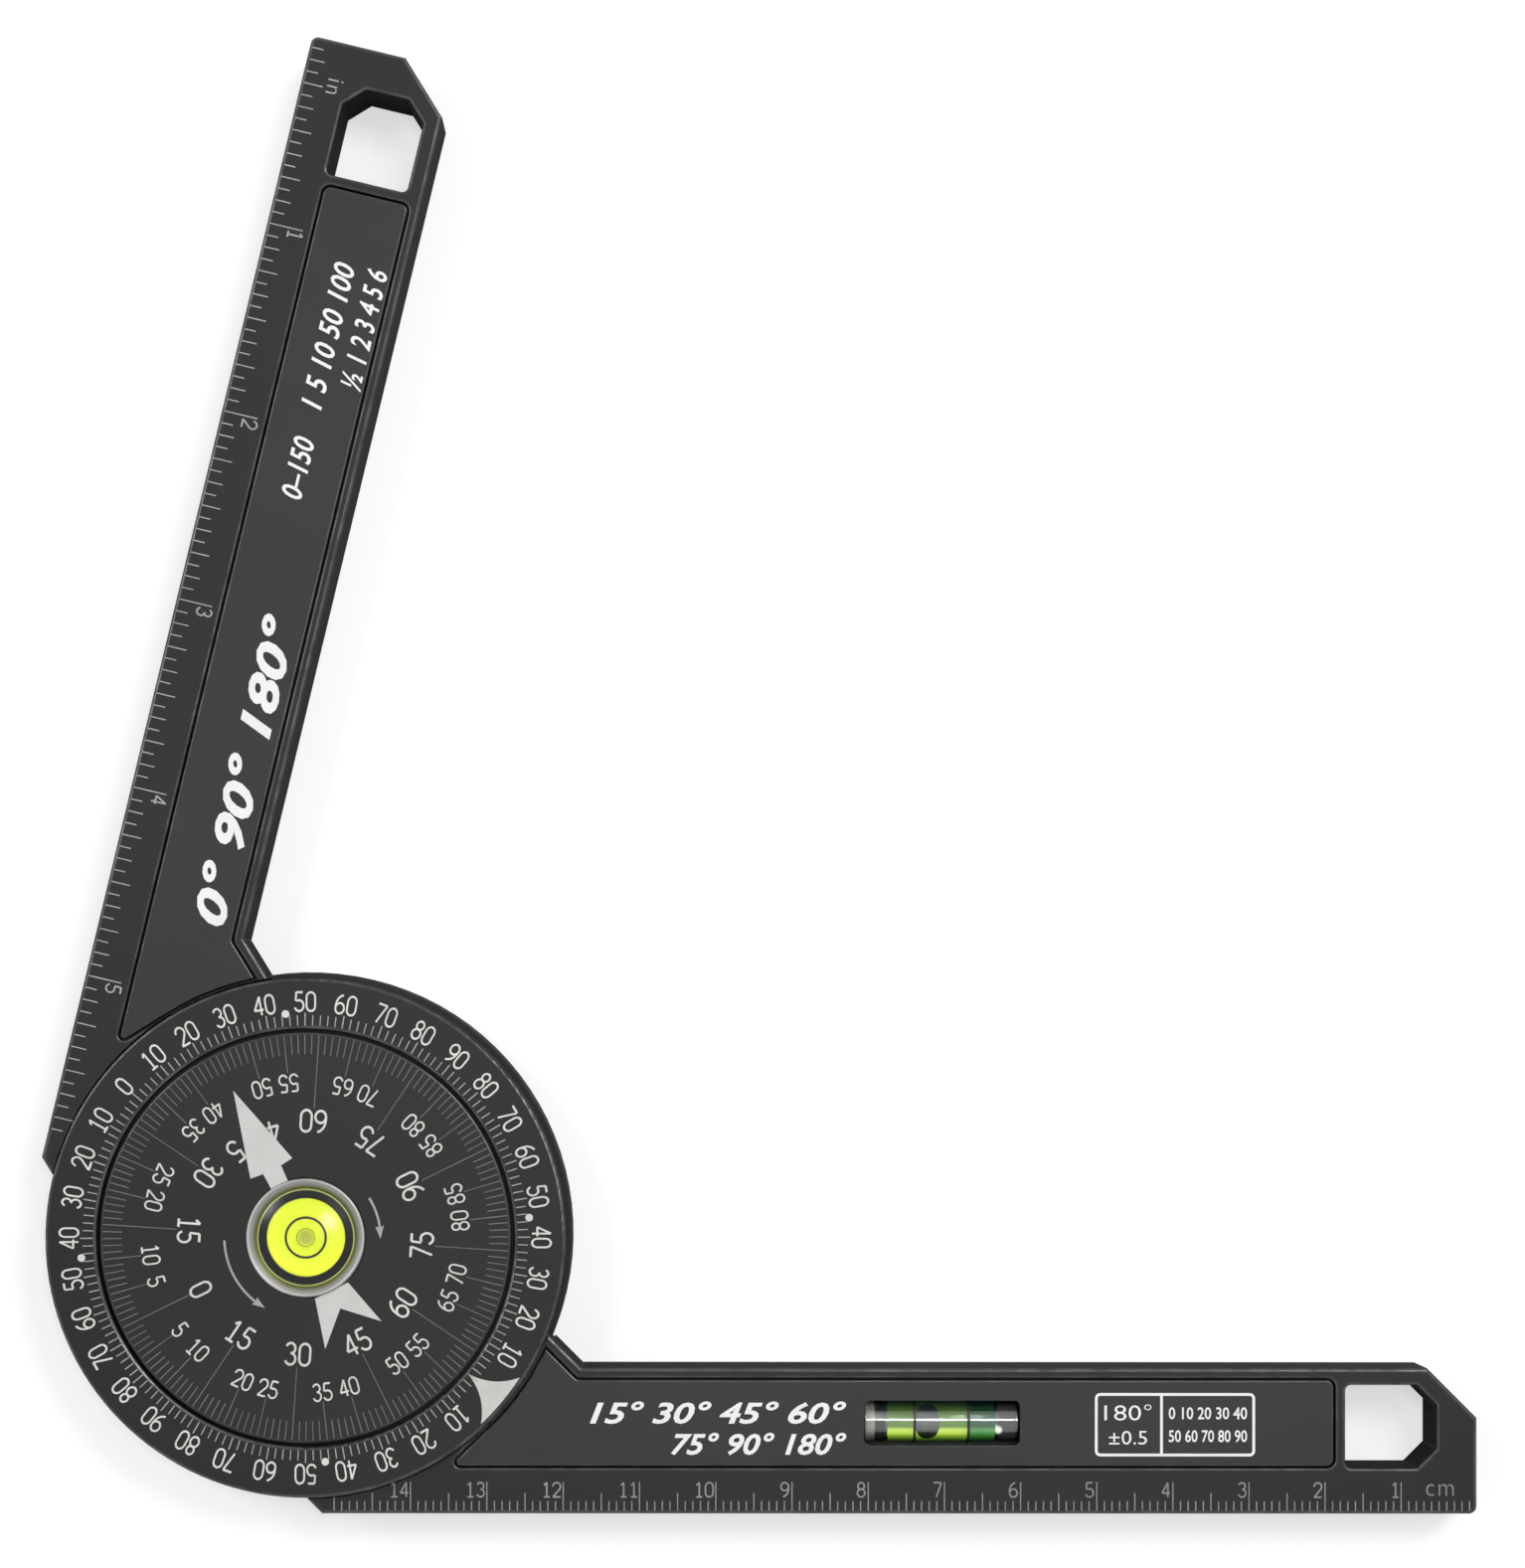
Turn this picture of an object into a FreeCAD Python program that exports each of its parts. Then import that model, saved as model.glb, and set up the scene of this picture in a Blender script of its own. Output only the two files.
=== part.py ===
import FreeCAD, Part
import math
import os

import Sketcher

# Angle finder with two arms, lying flat with its back on the plane z = 0.
# The origin is the hub axis at the back face. The base arm points along +X, and its ruler edge
# faces -Y. The swing arm turns about +Z and stands at rest_angle_deg from the base arm.
# Swing pieces are drawn with their arm along +X and ruler edge at +Y, then turned as a whole.
# Every length is in millimetres and every angle in degrees.

SIZES = {
    # How far the arms stand open in the modelled pose.
    "rest_angle_deg": 76.6,
    # The hub plate, which the other round pieces and the blades take their place from.
    "plate_radius": 34.0,
    "bore_step": 0.92,
    "turning_gap": 0.3,
    "running_fit": 0.08,
    # Both blades, seen from above: the ruler edge, the inner edge, the heel and the tip.
    "reach": 153.7,
    "edge_step": 2.2,
    "arm_width": 19.1,
    "arm_height": 9.0,
    "heel_start": 2.1,
    "wedge_lead": 1.8,
    "tip_cut": 6.5,
    "tip_round": 1.0,
    "arm_edge_round": 0.45,
    # The tray in each blade and the panel that closes it.
    "band_width": 6.0,
    "rim_width": 1.3,
    "panel_tip_inset": 18.6,
    "panel_thickness": 1.6,
    "panel_corner_round": 1.2,
    "panel_hub_round": 0.8,
    "panel_gap": 0.28,
    "panel_edge_round": 0.2,
    "seat_edge_round": 0.25,
    "ledge_width": 1.0,
    "floor_thickness": 1.6,
    "rib_thickness": 1.2,
    "tray_hub_wall": 4.2,
    # The hole that the blade hangs from.
    "hang_tip_inset": 5.3,
    "hang_length": 12.0,
    "hang_rim": 2.2,
    "hang_cut": 2.6,
    "hang_corner_round": 0.8,
    "hang_edge_round": 0.35,
    # The swing disc, which lies lowest and carries the boss that the base plate turns on.
    "disc_lip": 0.8,
    "disc_thickness": 3.6,
    # The scale ring, sunk below the blade's top, and its six screws.
    "ring_seat_depth": 0.8,
    "ring_width": 6.7,
    "ring_thickness": 2.2,
    "ring_edge_round": 0.4,
    "ring_screw_bite": 1.4,
    "ring_screw_head_radius": 1.9,
    "ring_screw_head_height": 1.3,
    "ring_screw_shank_radius": 0.9,
    # The dial on the swing boss and its four screws.
    "ring_gap": 0.4,
    "dial_thickness": 1.5,
    "dial_edge_round": 0.35,
    "dial_peg_wall": 1.3,
    "dial_peg_length": 2.6,
    "dial_screw_wall_gap": 1.1,
    "dial_screw_head_radius": 2.3,
    "dial_screw_head_height": 1.4,
    "dial_screw_shank_radius": 1.1,
    "dial_screw_bite": 2.2,
    "screw_fit": 0.06,
    "seat_fit": 0.1,
    # The washers between disc and plate and between plate and dial.
    "glide_rim": 0.8,
    "glide_thickness": 0.35,
    "glide_play": 0.05,
    "glide_bore_gap": 0.3,
    "friction_bore_gap": 1.1,
    "friction_rim": 0.9,
    "friction_thickness": 0.4,
    "friction_play": 0.1,
    # The cover pressed into the back of the disc.
    "cap_wall": 1.4,
    "cap_thickness": 1.5,
    "cap_edge_round": 0.3,
    "cap_ledge": 1.1,
    "cavity_height": 3.0,
    # The round level in the middle of the dial.
    "bezel_radius": 7.8,
    "bezel_flange_width": 1.4,
    "bezel_sleeve_wall": 0.5,
    "bezel_lift": 0.45,
    "bezel_sink": 0.5,
    "bezel_edge_round": 0.4,
    "level_depth": 4.2,
    "cup_wall": 1.25,
    "cup_floor": 1.0,
    "pad_thickness": 0.4,
    "lens_thickness": 0.9,
    "lens_drop": 0.15,
    "spot_radius": 1.2,
    "spot_depth": 0.5,
    "vial_fit": 0.04,
    # The tube level in the base arm, along X, under a window in the panel.
    "window_middle": 83.4,
    "window_length": 20.5,
    "window_side_gap": 0.15,
    "window_round": 0.8,
    "tube_wall": 0.55,
    "tube_end_gap": 0.15,
    "tube_drop": 0.6,
    "plug_flange_length": 1.3,
    "plug_stem_length": 1.7,
    "mark_spacing": 7.1,
    "mark_length": 0.35,
    "mark_thickness": 0.08,
    "bubble_place": -1.75,
    "bubble_half_length": 1.4,
    "bubble_half_width": 1.2,
    "bubble_half_height": 0.75,
    "bed_floor": 1.2,
    "bed_wall": 0.8,
    "bed_drop": 0.8,
    "bed_end_gap": 0.3,
    # How far a cut runs past the face that it leaves through.
    "overrun": 1.0,
    # How near an edge lies to the place where it is looked for.
    "match": 0.01,
}

# The hexagon socket of a screw, as a share of its head, and its depth as a share of the head's height.
SOCKET_SHARE = 0.5
SOCKET_DEPTH_SHARE = 0.55
RING_SCREWS = 6
DIAL_SCREWS = 4
SWING_TRAY_CELLS = 4
FULL_TURN = 360
ROOT_TWO = math.sqrt(2)
BASE_SIDE = -1
SWING_SIDE = 1

doc = FreeCAD.newDocument("AngleFinder")
sheet = doc.addObject("Spreadsheet::Sheet", "Sizes")
for row, (alias, value) in enumerate(SIZES.items(), start=1):
    sheet.set(f"A{row}", alias)
    sheet.set(f"B{row}", str(value))
    sheet.setAlias(f"B{row}", alias)
doc.recompute()


class Size:
    """A length that knows its value and the sheet formula that gives it."""

    def __init__(self, value, formula):
        self.value = value
        self.formula = formula

    def joined(self, other, sign, value):
        return Size(value, f"({self.formula} {sign} {other.formula})")

    def __add__(self, other):
        other = as_size(other)
        return self.joined(other, "+", self.value + other.value)

    def __sub__(self, other):
        other = as_size(other)
        return self.joined(other, "-", self.value - other.value)

    def __mul__(self, other):
        other = as_size(other)
        return self.joined(other, "*", self.value * other.value)

    def __truediv__(self, other):
        other = as_size(other)
        return self.joined(other, "/", self.value / other.value)

    def __neg__(self):
        return self * -1

    def root(self):
        return Size(math.sqrt(self.value), f"sqrt({self.formula})")


def as_size(number):
    return number if isinstance(number, Size) else Size(float(number), f"({float(number)!r})")


def size(alias):
    return Size(float(sheet.get(alias)), f"Sizes.{alias}")


ZERO = as_size(0)
OVERRUN = size("overrun")
MATCH = size("match").value

# The heights that the pieces share, from the back up.
ARM_TOP = size("arm_height")
PANEL_SEAT = ARM_TOP - size("panel_thickness")
DISC_TOP = size("disc_thickness")
PLATE_BOTTOM = DISC_TOP + size("glide_play") + size("glide_thickness")
PLATE_TOP = ARM_TOP - size("ring_seat_depth")
DIAL_BOTTOM = PLATE_TOP + size("friction_play") + size("friction_thickness")
DIAL_TOP = DIAL_BOTTOM + size("dial_thickness")
LEVEL_TOP = DIAL_TOP + size("bezel_lift")
LEVEL_BOTTOM = DIAL_TOP - size("level_depth")
CAVITY_TOP = size("cap_thickness") + size("cavity_height")

# The radii that the round pieces share, and where the blades lie beside the hub. The plate's bore
# lies a step inside the middle between its rim and the round level's rim.
PLATE_RADIUS = size("plate_radius")
HUB_TRIM = PLATE_RADIUS + size("turning_gap")
DISC_RADIUS = PLATE_RADIUS + size("disc_lip")
RING_BORE = PLATE_RADIUS - size("ring_width")
RING_SCREW_CIRCLE = (PLATE_RADIUS + RING_BORE) / 2
DIAL_RADIUS = RING_BORE - size("ring_gap")
PLATE_BORE = (PLATE_RADIUS + size("bezel_radius")) / 2 - size("bore_step")
BOSS_RADIUS = PLATE_BORE - size("running_fit")
CAP_RADIUS = BOSS_RADIUS - size("cap_wall")
CAVITY_RADIUS = CAP_RADIUS - size("cap_ledge")
DIAL_SCREW_CIRCLE = CAVITY_RADIUS - size("dial_screw_head_radius") - size("dial_screw_wall_gap")
PEG_RADIUS = size("dial_screw_shank_radius") + size("dial_peg_wall")
EDGE_OFFSET = PLATE_RADIUS + size("edge_step")
INNER_EDGE = EDGE_OFFSET - size("arm_width")
WEDGE_START = HUB_TRIM + size("wedge_lead")
TRAY_START = HUB_TRIM + size("tray_hub_wall")
BEZEL_BORE = size("bezel_radius") - size("bezel_flange_width")
SLEEVE_RADIUS = BEZEL_BORE + size("bezel_sleeve_wall")
CUP_RADIUS = BEZEL_BORE - size("vial_fit")
CUP_BORE = CUP_RADIUS - size("cup_wall")
CUP_INSIDE = LEVEL_BOTTOM + size("cup_floor")
LENS_TOP = LEVEL_TOP - size("lens_drop")
LENS_BOTTOM = LENS_TOP - size("lens_thickness")

# The vial's middle, which its pieces are drawn about. The tube fills the tray's height.
TUBE_RADIUS = (ARM_TOP - size("tube_drop") - size("bed_floor") - size("floor_thickness")) / 2
VIAL_X = size("window_middle")
VIAL_Y = -(EDGE_OFFSET - size("band_width") + INNER_EDGE + size("rim_width")) / 2
VIAL_Z = ARM_TOP - size("tube_drop") - TUBE_RADIUS
TUBE_HALF_LENGTH = size("window_length") / 2 - size("tube_end_gap")
TUBE_BORE = TUBE_RADIUS - size("tube_wall")
BAY_HALF_LENGTH = size("window_length") / 2 + size("bed_end_gap")


def bind(thing, name, amount):
    """Sets one property and ties it to the sheet."""
    amount = as_size(amount)
    thing.setExpression(name, amount.formula)


def origin_part(body, role):
    return next(f for f in body.Origin.OriginFeatures if f.Role == role)


def new_body(label, turned=False, place=None):
    """One separate piece. A turned one stands at the swing arm's opening."""
    body = doc.addObject("PartDesign::Body", label)
    body.Label = label
    if turned:
        body.Placement = FreeCAD.Placement(FreeCAD.Vector(), FreeCAD.Rotation(FreeCAD.Vector(0, 0, 1), 0))
        bind(body, "Placement.Rotation.Angle", size("rest_angle_deg"))
    for axis, amount in zip("xyz", place or ()):
        bind(body, f"Placement.Base.{axis}", amount)
    return body


def new_sketch(body, name, height=ZERO, plane="XY_Plane"):
    """A sketch on one of the body's own planes, moved along its normal by the height."""
    sketch = body.newObject("Sketcher::SketchObject", name)
    sketch.AttachmentSupport = [(origin_part(body, plane), "")]
    sketch.MapMode = "FlatFace"
    bind(sketch, "AttachmentOffset.Base.z", height)
    return sketch


def pin(sketch, geometry, point, x, y):
    """Ties one point of a sketch to its place."""
    for kind, amount in (("DistanceX", x), ("DistanceY", y)):
        amount = as_size(amount)
        place = sketch.addConstraint(Sketcher.Constraint(kind, -1, 1, geometry, point, amount.value))
        sketch.setExpression(f"Constraints[{place}]", amount.formula)


def draw_circle(sketch, radius, x=ZERO, y=ZERO):
    centre = FreeCAD.Vector(as_size(x).value, as_size(y).value, 0)
    circle = sketch.addGeometry(Part.Circle(centre, FreeCAD.Vector(0, 0, 1), radius.value), False)
    place = sketch.addConstraint(Sketcher.Constraint("Radius", circle, radius.value))
    sketch.setExpression(f"Constraints[{place}]", radius.formula)
    pin(sketch, circle, 3, x, y)


def draw_outline(sketch, points, hub_arc=None):
    """A closed outline through the points. With a hub_arc, its last side but one is that arc about the hub."""
    points = [(as_size(x), as_size(y)) for x, y in points]
    vectors = [FreeCAD.Vector(x.value, y.value, 0) for x, y in points]
    count = len(points)
    ends = []
    for index, start in enumerate(vectors):
        end = vectors[(index + 1) % count]
        if hub_arc and index == count - 2:
            middle = (start + end).normalize() * hub_arc.value
            arc = Part.Arc(start, middle, end)
            geometry = sketch.addGeometry(arc, False)
            place = sketch.addConstraint(Sketcher.Constraint("Radius", geometry, hub_arc.value))
            sketch.setExpression(f"Constraints[{place}]", hub_arc.formula)
            # An arc is kept counter-clockwise, so its first point may be the outline's next one.
            forward = start.cross(end).z > 0
            ends.append((geometry, 1, 2) if forward else (geometry, 2, 1))
        else:
            geometry = sketch.addGeometry(Part.LineSegment(start, end), False)
            ends.append((geometry, 1, 2))
    for index in range(count):
        geometry, _, last = ends[index]
        following, first, _ = ends[(index + 1) % count]
        sketch.addConstraint(Sketcher.Constraint("Coincident", geometry, last, following, first))
    for (geometry, first, _), (x, y) in zip(ends, points):
        pin(sketch, geometry, first, x, y)


def pad(body, sketch, length, both_ways=False):
    feature = body.newObject("PartDesign::Pad", f"{sketch.Name}Pad")
    feature.Profile = sketch
    feature.Midplane = both_ways
    bind(feature, "Length", length)
    return feature


def cut_up(body, sketch, length):
    """A pocket that runs along the sketch's normal, up from its plane."""
    doc.recompute()
    before = body.Shape.Volume
    feature = body.newObject("PartDesign::Pocket", f"{sketch.Name}Cut")
    feature.Profile = sketch
    feature.Reversed = True
    bind(feature, "Length", length)
    doc.recompute()
    if not body.Shape.Volume < before:
        raise RuntimeError(f"{feature.Name} takes nothing from {body.Label}")
    return feature


def revolve(body, name, points):
    """A solid of revolution about Z from a profile of radius and height."""
    sketch = new_sketch(body, name, plane="XZ_Plane")
    draw_outline(sketch, points)
    feature = body.newObject("PartDesign::Revolution", f"{name}Turn")
    feature.Profile = sketch
    feature.ReferenceAxis = (sketch, ["V_Axis"])
    feature.Angle = FULL_TURN
    return feature


def tube_profile(inner, outer, bottom, top):
    return [(inner, bottom), (outer, bottom), (outer, top), (inner, top)]


def polar(body, name, features, count):
    feature = body.newObject("PartDesign::PolarPattern", name)
    feature.Originals = features
    feature.Axis = (origin_part(body, "Z_Axis"), [""])
    feature.Angle = FULL_TURN
    feature.Occurrences = count
    body.Tip = feature
    return feature


def upright_edges(feature, corners):
    """The names of the edges along Z that stand on the given corners."""
    doc.recompute()
    places = [(as_size(x).value, as_size(y).value) for x, y in corners]
    names = []
    for number, edge in enumerate(feature.Shape.Edges, start=1):
        first, last = edge.Vertexes[0].Point, edge.Vertexes[-1].Point
        if math.hypot(first.x - last.x, first.y - last.y) > MATCH:
            continue
        if any(math.hypot(first.x - x, first.y - y) < MATCH for x, y in places):
            names.append(f"Edge{number}")
    return names


def level_edges(feature, heights, within=None):
    """The names of the edges that lie flat at one of the heights, inside a box of X and Y if given."""
    doc.recompute()
    wanted = [as_size(height).value for height in heights]
    names = []
    for number, edge in enumerate(feature.Shape.Edges, start=1):
        box = edge.BoundBox
        if box.ZLength > MATCH or not any(abs(box.ZMin - z) < MATCH for z in wanted):
            continue
        if within:
            (x0, x1), (y0, y1) = within
            middle = box.Center
            if not (x0 <= middle.x <= x1 and y0 <= middle.y <= y1):
                continue
        names.append(f"Edge{number}")
    return names


def round_edges(body, name, feature, edges, radius):
    rounded = body.newObject("PartDesign::Fillet", name)
    rounded.Base = (feature, edges)
    bind(rounded, "Radius", radius)
    doc.recompute()
    return rounded


def on_diagonal(offset, radius):
    """Where the 45 degree line that leaves the X axis at the offset meets a circle about the hub."""
    return (offset + (radius * radius * 2 - offset * offset).root()) / 2


def blade_outline(side):
    """A blade from above. Its points inside the hub circle are trimmed later."""
    edge = EDGE_OFFSET
    cut = size("tip_cut")
    heel_run = size("edge_step") * 2
    heel = size("heel_start") - heel_run
    # The flare beside the hub runs at 45 degrees to a point well inside the plate.
    flare = WEDGE_START - INNER_EDGE
    flare_end = on_diagonal(flare, PLATE_RADIUS - size("edge_step"))
    return [
        (size("heel_start"), edge * side),
        (size("reach"), edge * side),
        (size("reach"), (INNER_EDGE + cut) * side),
        (size("reach") - cut, INNER_EDGE * side),
        (WEDGE_START, INNER_EDGE * side),
        (flare_end, (flare_end - flare) * side),
        (heel, (flare_end - flare) * side),
        (heel, (edge - heel_run) * side),
    ]


def add_blade(body, side):
    """The full block of a blade, with its tip corner and its long edges rounded."""
    outline = blade_outline(side)
    sketch = new_sketch(body, "Blade")
    draw_outline(sketch, outline)
    block = pad(body, sketch, ARM_TOP)
    tip = round_edges(body, "TipRound", block, upright_edges(block, outline[1:2]), size("tip_round"))
    edges = level_edges(tip, (ZERO, ARM_TOP))
    return round_edges(body, "BladeRound", tip, edges, size("arm_edge_round"))


def panel_outline(side, gap):
    """The tray's mouth, or the panel in it when a gap is given, with its arc round the hub."""
    outer = EDGE_OFFSET - size("band_width") - gap
    inner = INNER_EDGE + size("rim_width") + gap
    tip = size("reach") - size("panel_tip_inset") - gap
    arc = HUB_TRIM + gap
    # The flare beside the hub runs at 45 degrees, one rim width inside the blade's own.
    flare = WEDGE_START - INNER_EDGE - (size("rim_width") + gap) * ROOT_TWO
    flare_end = on_diagonal(flare, arc)
    tangent = arc / ROOT_TWO
    return [
        (tangent * 2 - outer, outer * side),
        (tip, outer * side),
        (tip, inner * side),
        (inner + flare, inner * side),
        (flare_end, (flare_end - flare) * side),
        (tangent, tangent * side),
    ]


def cut_panel_seat(body, side):
    """The recess that the panel lies in, with rounded corners and a softened rim."""
    outline = panel_outline(side, ZERO)
    sketch = new_sketch(body, "PanelSeat", PANEL_SEAT)
    draw_outline(sketch, outline, hub_arc=HUB_TRIM)
    seat = cut_up(body, sketch, size("panel_thickness") + OVERRUN)
    sharp = upright_edges(seat, outline[:1])
    hub_round = round_edges(body, "PanelSeatHubRound", seat, sharp, size("panel_hub_round"))
    corners = upright_edges(hub_round, outline[1:-2])
    rounded = round_edges(body, "PanelSeatRound", hub_round, corners, size("panel_corner_round"))
    x_limits = (outline[0][0].value - MATCH, outline[1][0].value + MATCH)
    y_limits = sorted((outline[0][1].value, outline[2][1].value))
    y_limits = (y_limits[0] - MATCH, y_limits[1] + MATCH)
    rim = level_edges(rounded, (ARM_TOP,), (x_limits, y_limits))
    return round_edges(body, "PanelSeatRim", rounded, rim, size("seat_edge_round"))


def tray_limits():
    """The tray under the ledge: its two long walls and its tip end."""
    ledge = size("ledge_width")
    outer = EDGE_OFFSET - size("band_width") - ledge
    inner = INNER_EDGE + size("rim_width") + ledge
    end = size("reach") - size("panel_tip_inset") - ledge
    return inner, outer, end


def cut_tray_cell(body, name, side, start, end):
    inner, outer, _ = tray_limits()
    sketch = new_sketch(body, name, size("floor_thickness"))
    draw_outline(sketch, [(start, inner * side), (end, inner * side), (end, outer * side), (start, outer * side)])
    return cut_up(body, sketch, PANEL_SEAT - size("floor_thickness"))


def cut_hang_hole(body, side):
    """The hole near the tip, with its two tip corners cut off and its rims rounded."""
    outer = EDGE_OFFSET - size("band_width")
    inner = INNER_EDGE + size("hang_rim")
    tip = size("reach") - size("hang_tip_inset")
    back = tip - size("hang_length")
    cut = size("hang_cut")
    outline = [
        (back, inner * side),
        (tip - cut, inner * side),
        (tip, (inner + cut) * side),
        (tip, (outer - cut) * side),
        (tip - cut, outer * side),
        (back, outer * side),
    ]
    sketch = new_sketch(body, "HangHole", -OVERRUN)
    draw_outline(sketch, outline)
    hole = cut_up(body, sketch, ARM_TOP + OVERRUN * 2)
    corners = upright_edges(hole, (outline[0], outline[-1]))
    rounded = round_edges(body, "HangCorners", hole, corners, size("hang_corner_round"))
    x_limits = (back.value - MATCH, tip.value + MATCH)
    y_limits = sorted(((inner * side).value, (outer * side).value))
    y_limits = (y_limits[0] - MATCH, y_limits[1] + MATCH)
    rims = level_edges(rounded, (ZERO, ARM_TOP), (x_limits, y_limits))
    return round_edges(body, "HangRims", rounded, rims, size("hang_edge_round"))


def base_arm():
    """The lower arm with its ruler edge, and the plate with a bore that turns on the swing boss."""
    body = new_body("base_arm")
    add_blade(body, BASE_SIDE)
    plate = new_sketch(body, "HubPlate", PLATE_BOTTOM)
    draw_circle(plate, PLATE_RADIUS)
    pad(body, plate, PLATE_TOP - PLATE_BOTTOM)
    under = new_sketch(body, "DiscRoom", -OVERRUN)
    draw_circle(under, DISC_RADIUS + size("turning_gap"))
    cut_up(body, under, PLATE_BOTTOM + OVERRUN)
    over = new_sketch(body, "RingRoom", PLATE_TOP)
    draw_circle(over, HUB_TRIM)
    cut_up(body, over, ARM_TOP - PLATE_TOP + OVERRUN)
    bore = new_sketch(body, "Bore", PLATE_BOTTOM - OVERRUN)
    draw_circle(bore, PLATE_BORE)
    cut_up(body, bore, PLATE_TOP - PLATE_BOTTOM + OVERRUN * 2)
    head = new_sketch(body, "ScrewHead", PLATE_BOTTOM - OVERRUN)
    draw_circle(head, size("ring_screw_head_radius") + size("seat_fit"), RING_SCREW_CIRCLE)
    head_room = cut_up(body, head, size("ring_screw_head_height") + size("seat_fit") + OVERRUN)
    shank = new_sketch(body, "ScrewShank", PLATE_BOTTOM - OVERRUN)
    draw_circle(shank, size("ring_screw_shank_radius") + size("screw_fit"), RING_SCREW_CIRCLE)
    shank_room = cut_up(body, shank, PLATE_TOP - PLATE_BOTTOM + OVERRUN * 2)
    polar(body, "ScrewRooms", [head_room, shank_room], RING_SCREWS)
    cut_panel_seat(body, BASE_SIDE)
    _, _, tray_end = tray_limits()
    wall = size("rib_thickness")
    cut_tray_cell(body, "HubCell", BASE_SIDE, TRAY_START, VIAL_X - BAY_HALF_LENGTH - wall)
    cut_tray_cell(body, "VialBay", BASE_SIDE, VIAL_X - BAY_HALF_LENGTH, VIAL_X + BAY_HALF_LENGTH)
    cut_tray_cell(body, "TipCell", BASE_SIDE, VIAL_X + BAY_HALF_LENGTH + wall, tray_end)
    cut_hang_hole(body, BASE_SIDE)
    return body


def swing_arm():
    """The upper arm and its disc, with the boss that carries the dial and closes the hub."""
    body = new_body("swing_arm", turned=True)
    add_blade(body, SWING_SIDE)
    disc = new_sketch(body, "Disc")
    draw_circle(disc, DISC_RADIUS)
    pad(body, disc, DISC_TOP)
    room = new_sketch(body, "PlateRoom", DISC_TOP)
    draw_circle(room, HUB_TRIM)
    cut_up(body, room, ARM_TOP - DISC_TOP + OVERRUN)
    boss = new_sketch(body, "Boss", DISC_TOP)
    draw_circle(boss, BOSS_RADIUS)
    pad(body, boss, DIAL_BOTTOM - DISC_TOP)
    cap = new_sketch(body, "CapSeat", -OVERRUN)
    draw_circle(cap, CAP_RADIUS + size("seat_fit"))
    cut_up(body, cap, size("cap_thickness") + OVERRUN)
    cavity = new_sketch(body, "Cavity")
    draw_circle(cavity, CAVITY_RADIUS)
    cut_up(body, cavity, CAVITY_TOP)
    level = new_sketch(body, "LevelRoom", LEVEL_BOTTOM)
    draw_circle(level, SLEEVE_RADIUS + size("seat_fit"))
    cut_up(body, level, DIAL_BOTTOM - LEVEL_BOTTOM + OVERRUN)
    peg = new_sketch(body, "PegRoom", DIAL_BOTTOM - size("dial_peg_length") - size("seat_fit"))
    draw_circle(peg, PEG_RADIUS + size("seat_fit"), DIAL_SCREW_CIRCLE)
    peg_room = cut_up(body, peg, size("dial_peg_length") + size("seat_fit") + OVERRUN)
    shank = new_sketch(body, "ScrewShank", CAVITY_TOP - OVERRUN)
    draw_circle(shank, size("dial_screw_shank_radius") + size("screw_fit"), DIAL_SCREW_CIRCLE)
    shank_room = cut_up(body, shank, DIAL_BOTTOM - CAVITY_TOP + OVERRUN)
    polar(body, "ScrewRooms", [peg_room, shank_room], DIAL_SCREWS)
    cut_panel_seat(body, SWING_SIDE)
    inner, outer, tray_end = tray_limits()
    wall = size("rib_thickness")
    pitch = (tray_end - TRAY_START + wall) / SWING_TRAY_CELLS
    for cell in range(SWING_TRAY_CELLS):
        start = TRAY_START + pitch * cell
        cut_tray_cell(body, f"TrayCell{cell}", SWING_SIDE, start, start + pitch - wall)
    cut_hang_hole(body, SWING_SIDE)
    return body


def panel(label, side, turned=False):
    """The flat cover that closes a blade's tray, flush with the blade's top."""
    body = new_body(label, turned)
    gap = size("panel_gap")
    outline = panel_outline(side, gap)
    sketch = new_sketch(body, "Outline", PANEL_SEAT)
    draw_outline(sketch, outline, hub_arc=HUB_TRIM + gap)
    plate = pad(body, sketch, size("panel_thickness"))
    sharp = upright_edges(plate, outline[:1])
    hub_round = round_edges(body, "HubCorner", plate, sharp, size("panel_hub_round") - gap)
    corners = upright_edges(hub_round, outline[1:-2])
    rounded = round_edges(body, "Corners", hub_round, corners, size("panel_corner_round") - gap)
    return body, round_edges(body, "Rim", rounded, level_edges(rounded, (ARM_TOP,)), size("panel_edge_round"))


def base_panel():
    """The base arm's cover, with a window over the vial."""
    body, _ = panel("base_panel", BASE_SIDE)
    half_length = size("window_length") / 2
    half_width = TUBE_RADIUS + size("window_side_gap")
    sides = ((-1, -1), (1, -1), (1, 1), (-1, 1))
    outline = [(VIAL_X + half_length * a, VIAL_Y + half_width * b) for a, b in sides]
    sketch = new_sketch(body, "Window", PANEL_SEAT - OVERRUN)
    draw_outline(sketch, outline)
    window = cut_up(body, sketch, size("panel_thickness") + OVERRUN * 2)
    round_edges(body, "WindowCorners", window, upright_edges(window, outline), size("window_round"))
    return body


def swing_panel():
    """The swing arm's cover, plain."""
    body, _ = panel("swing_panel", SWING_SIDE, turned=True)
    return body


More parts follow.
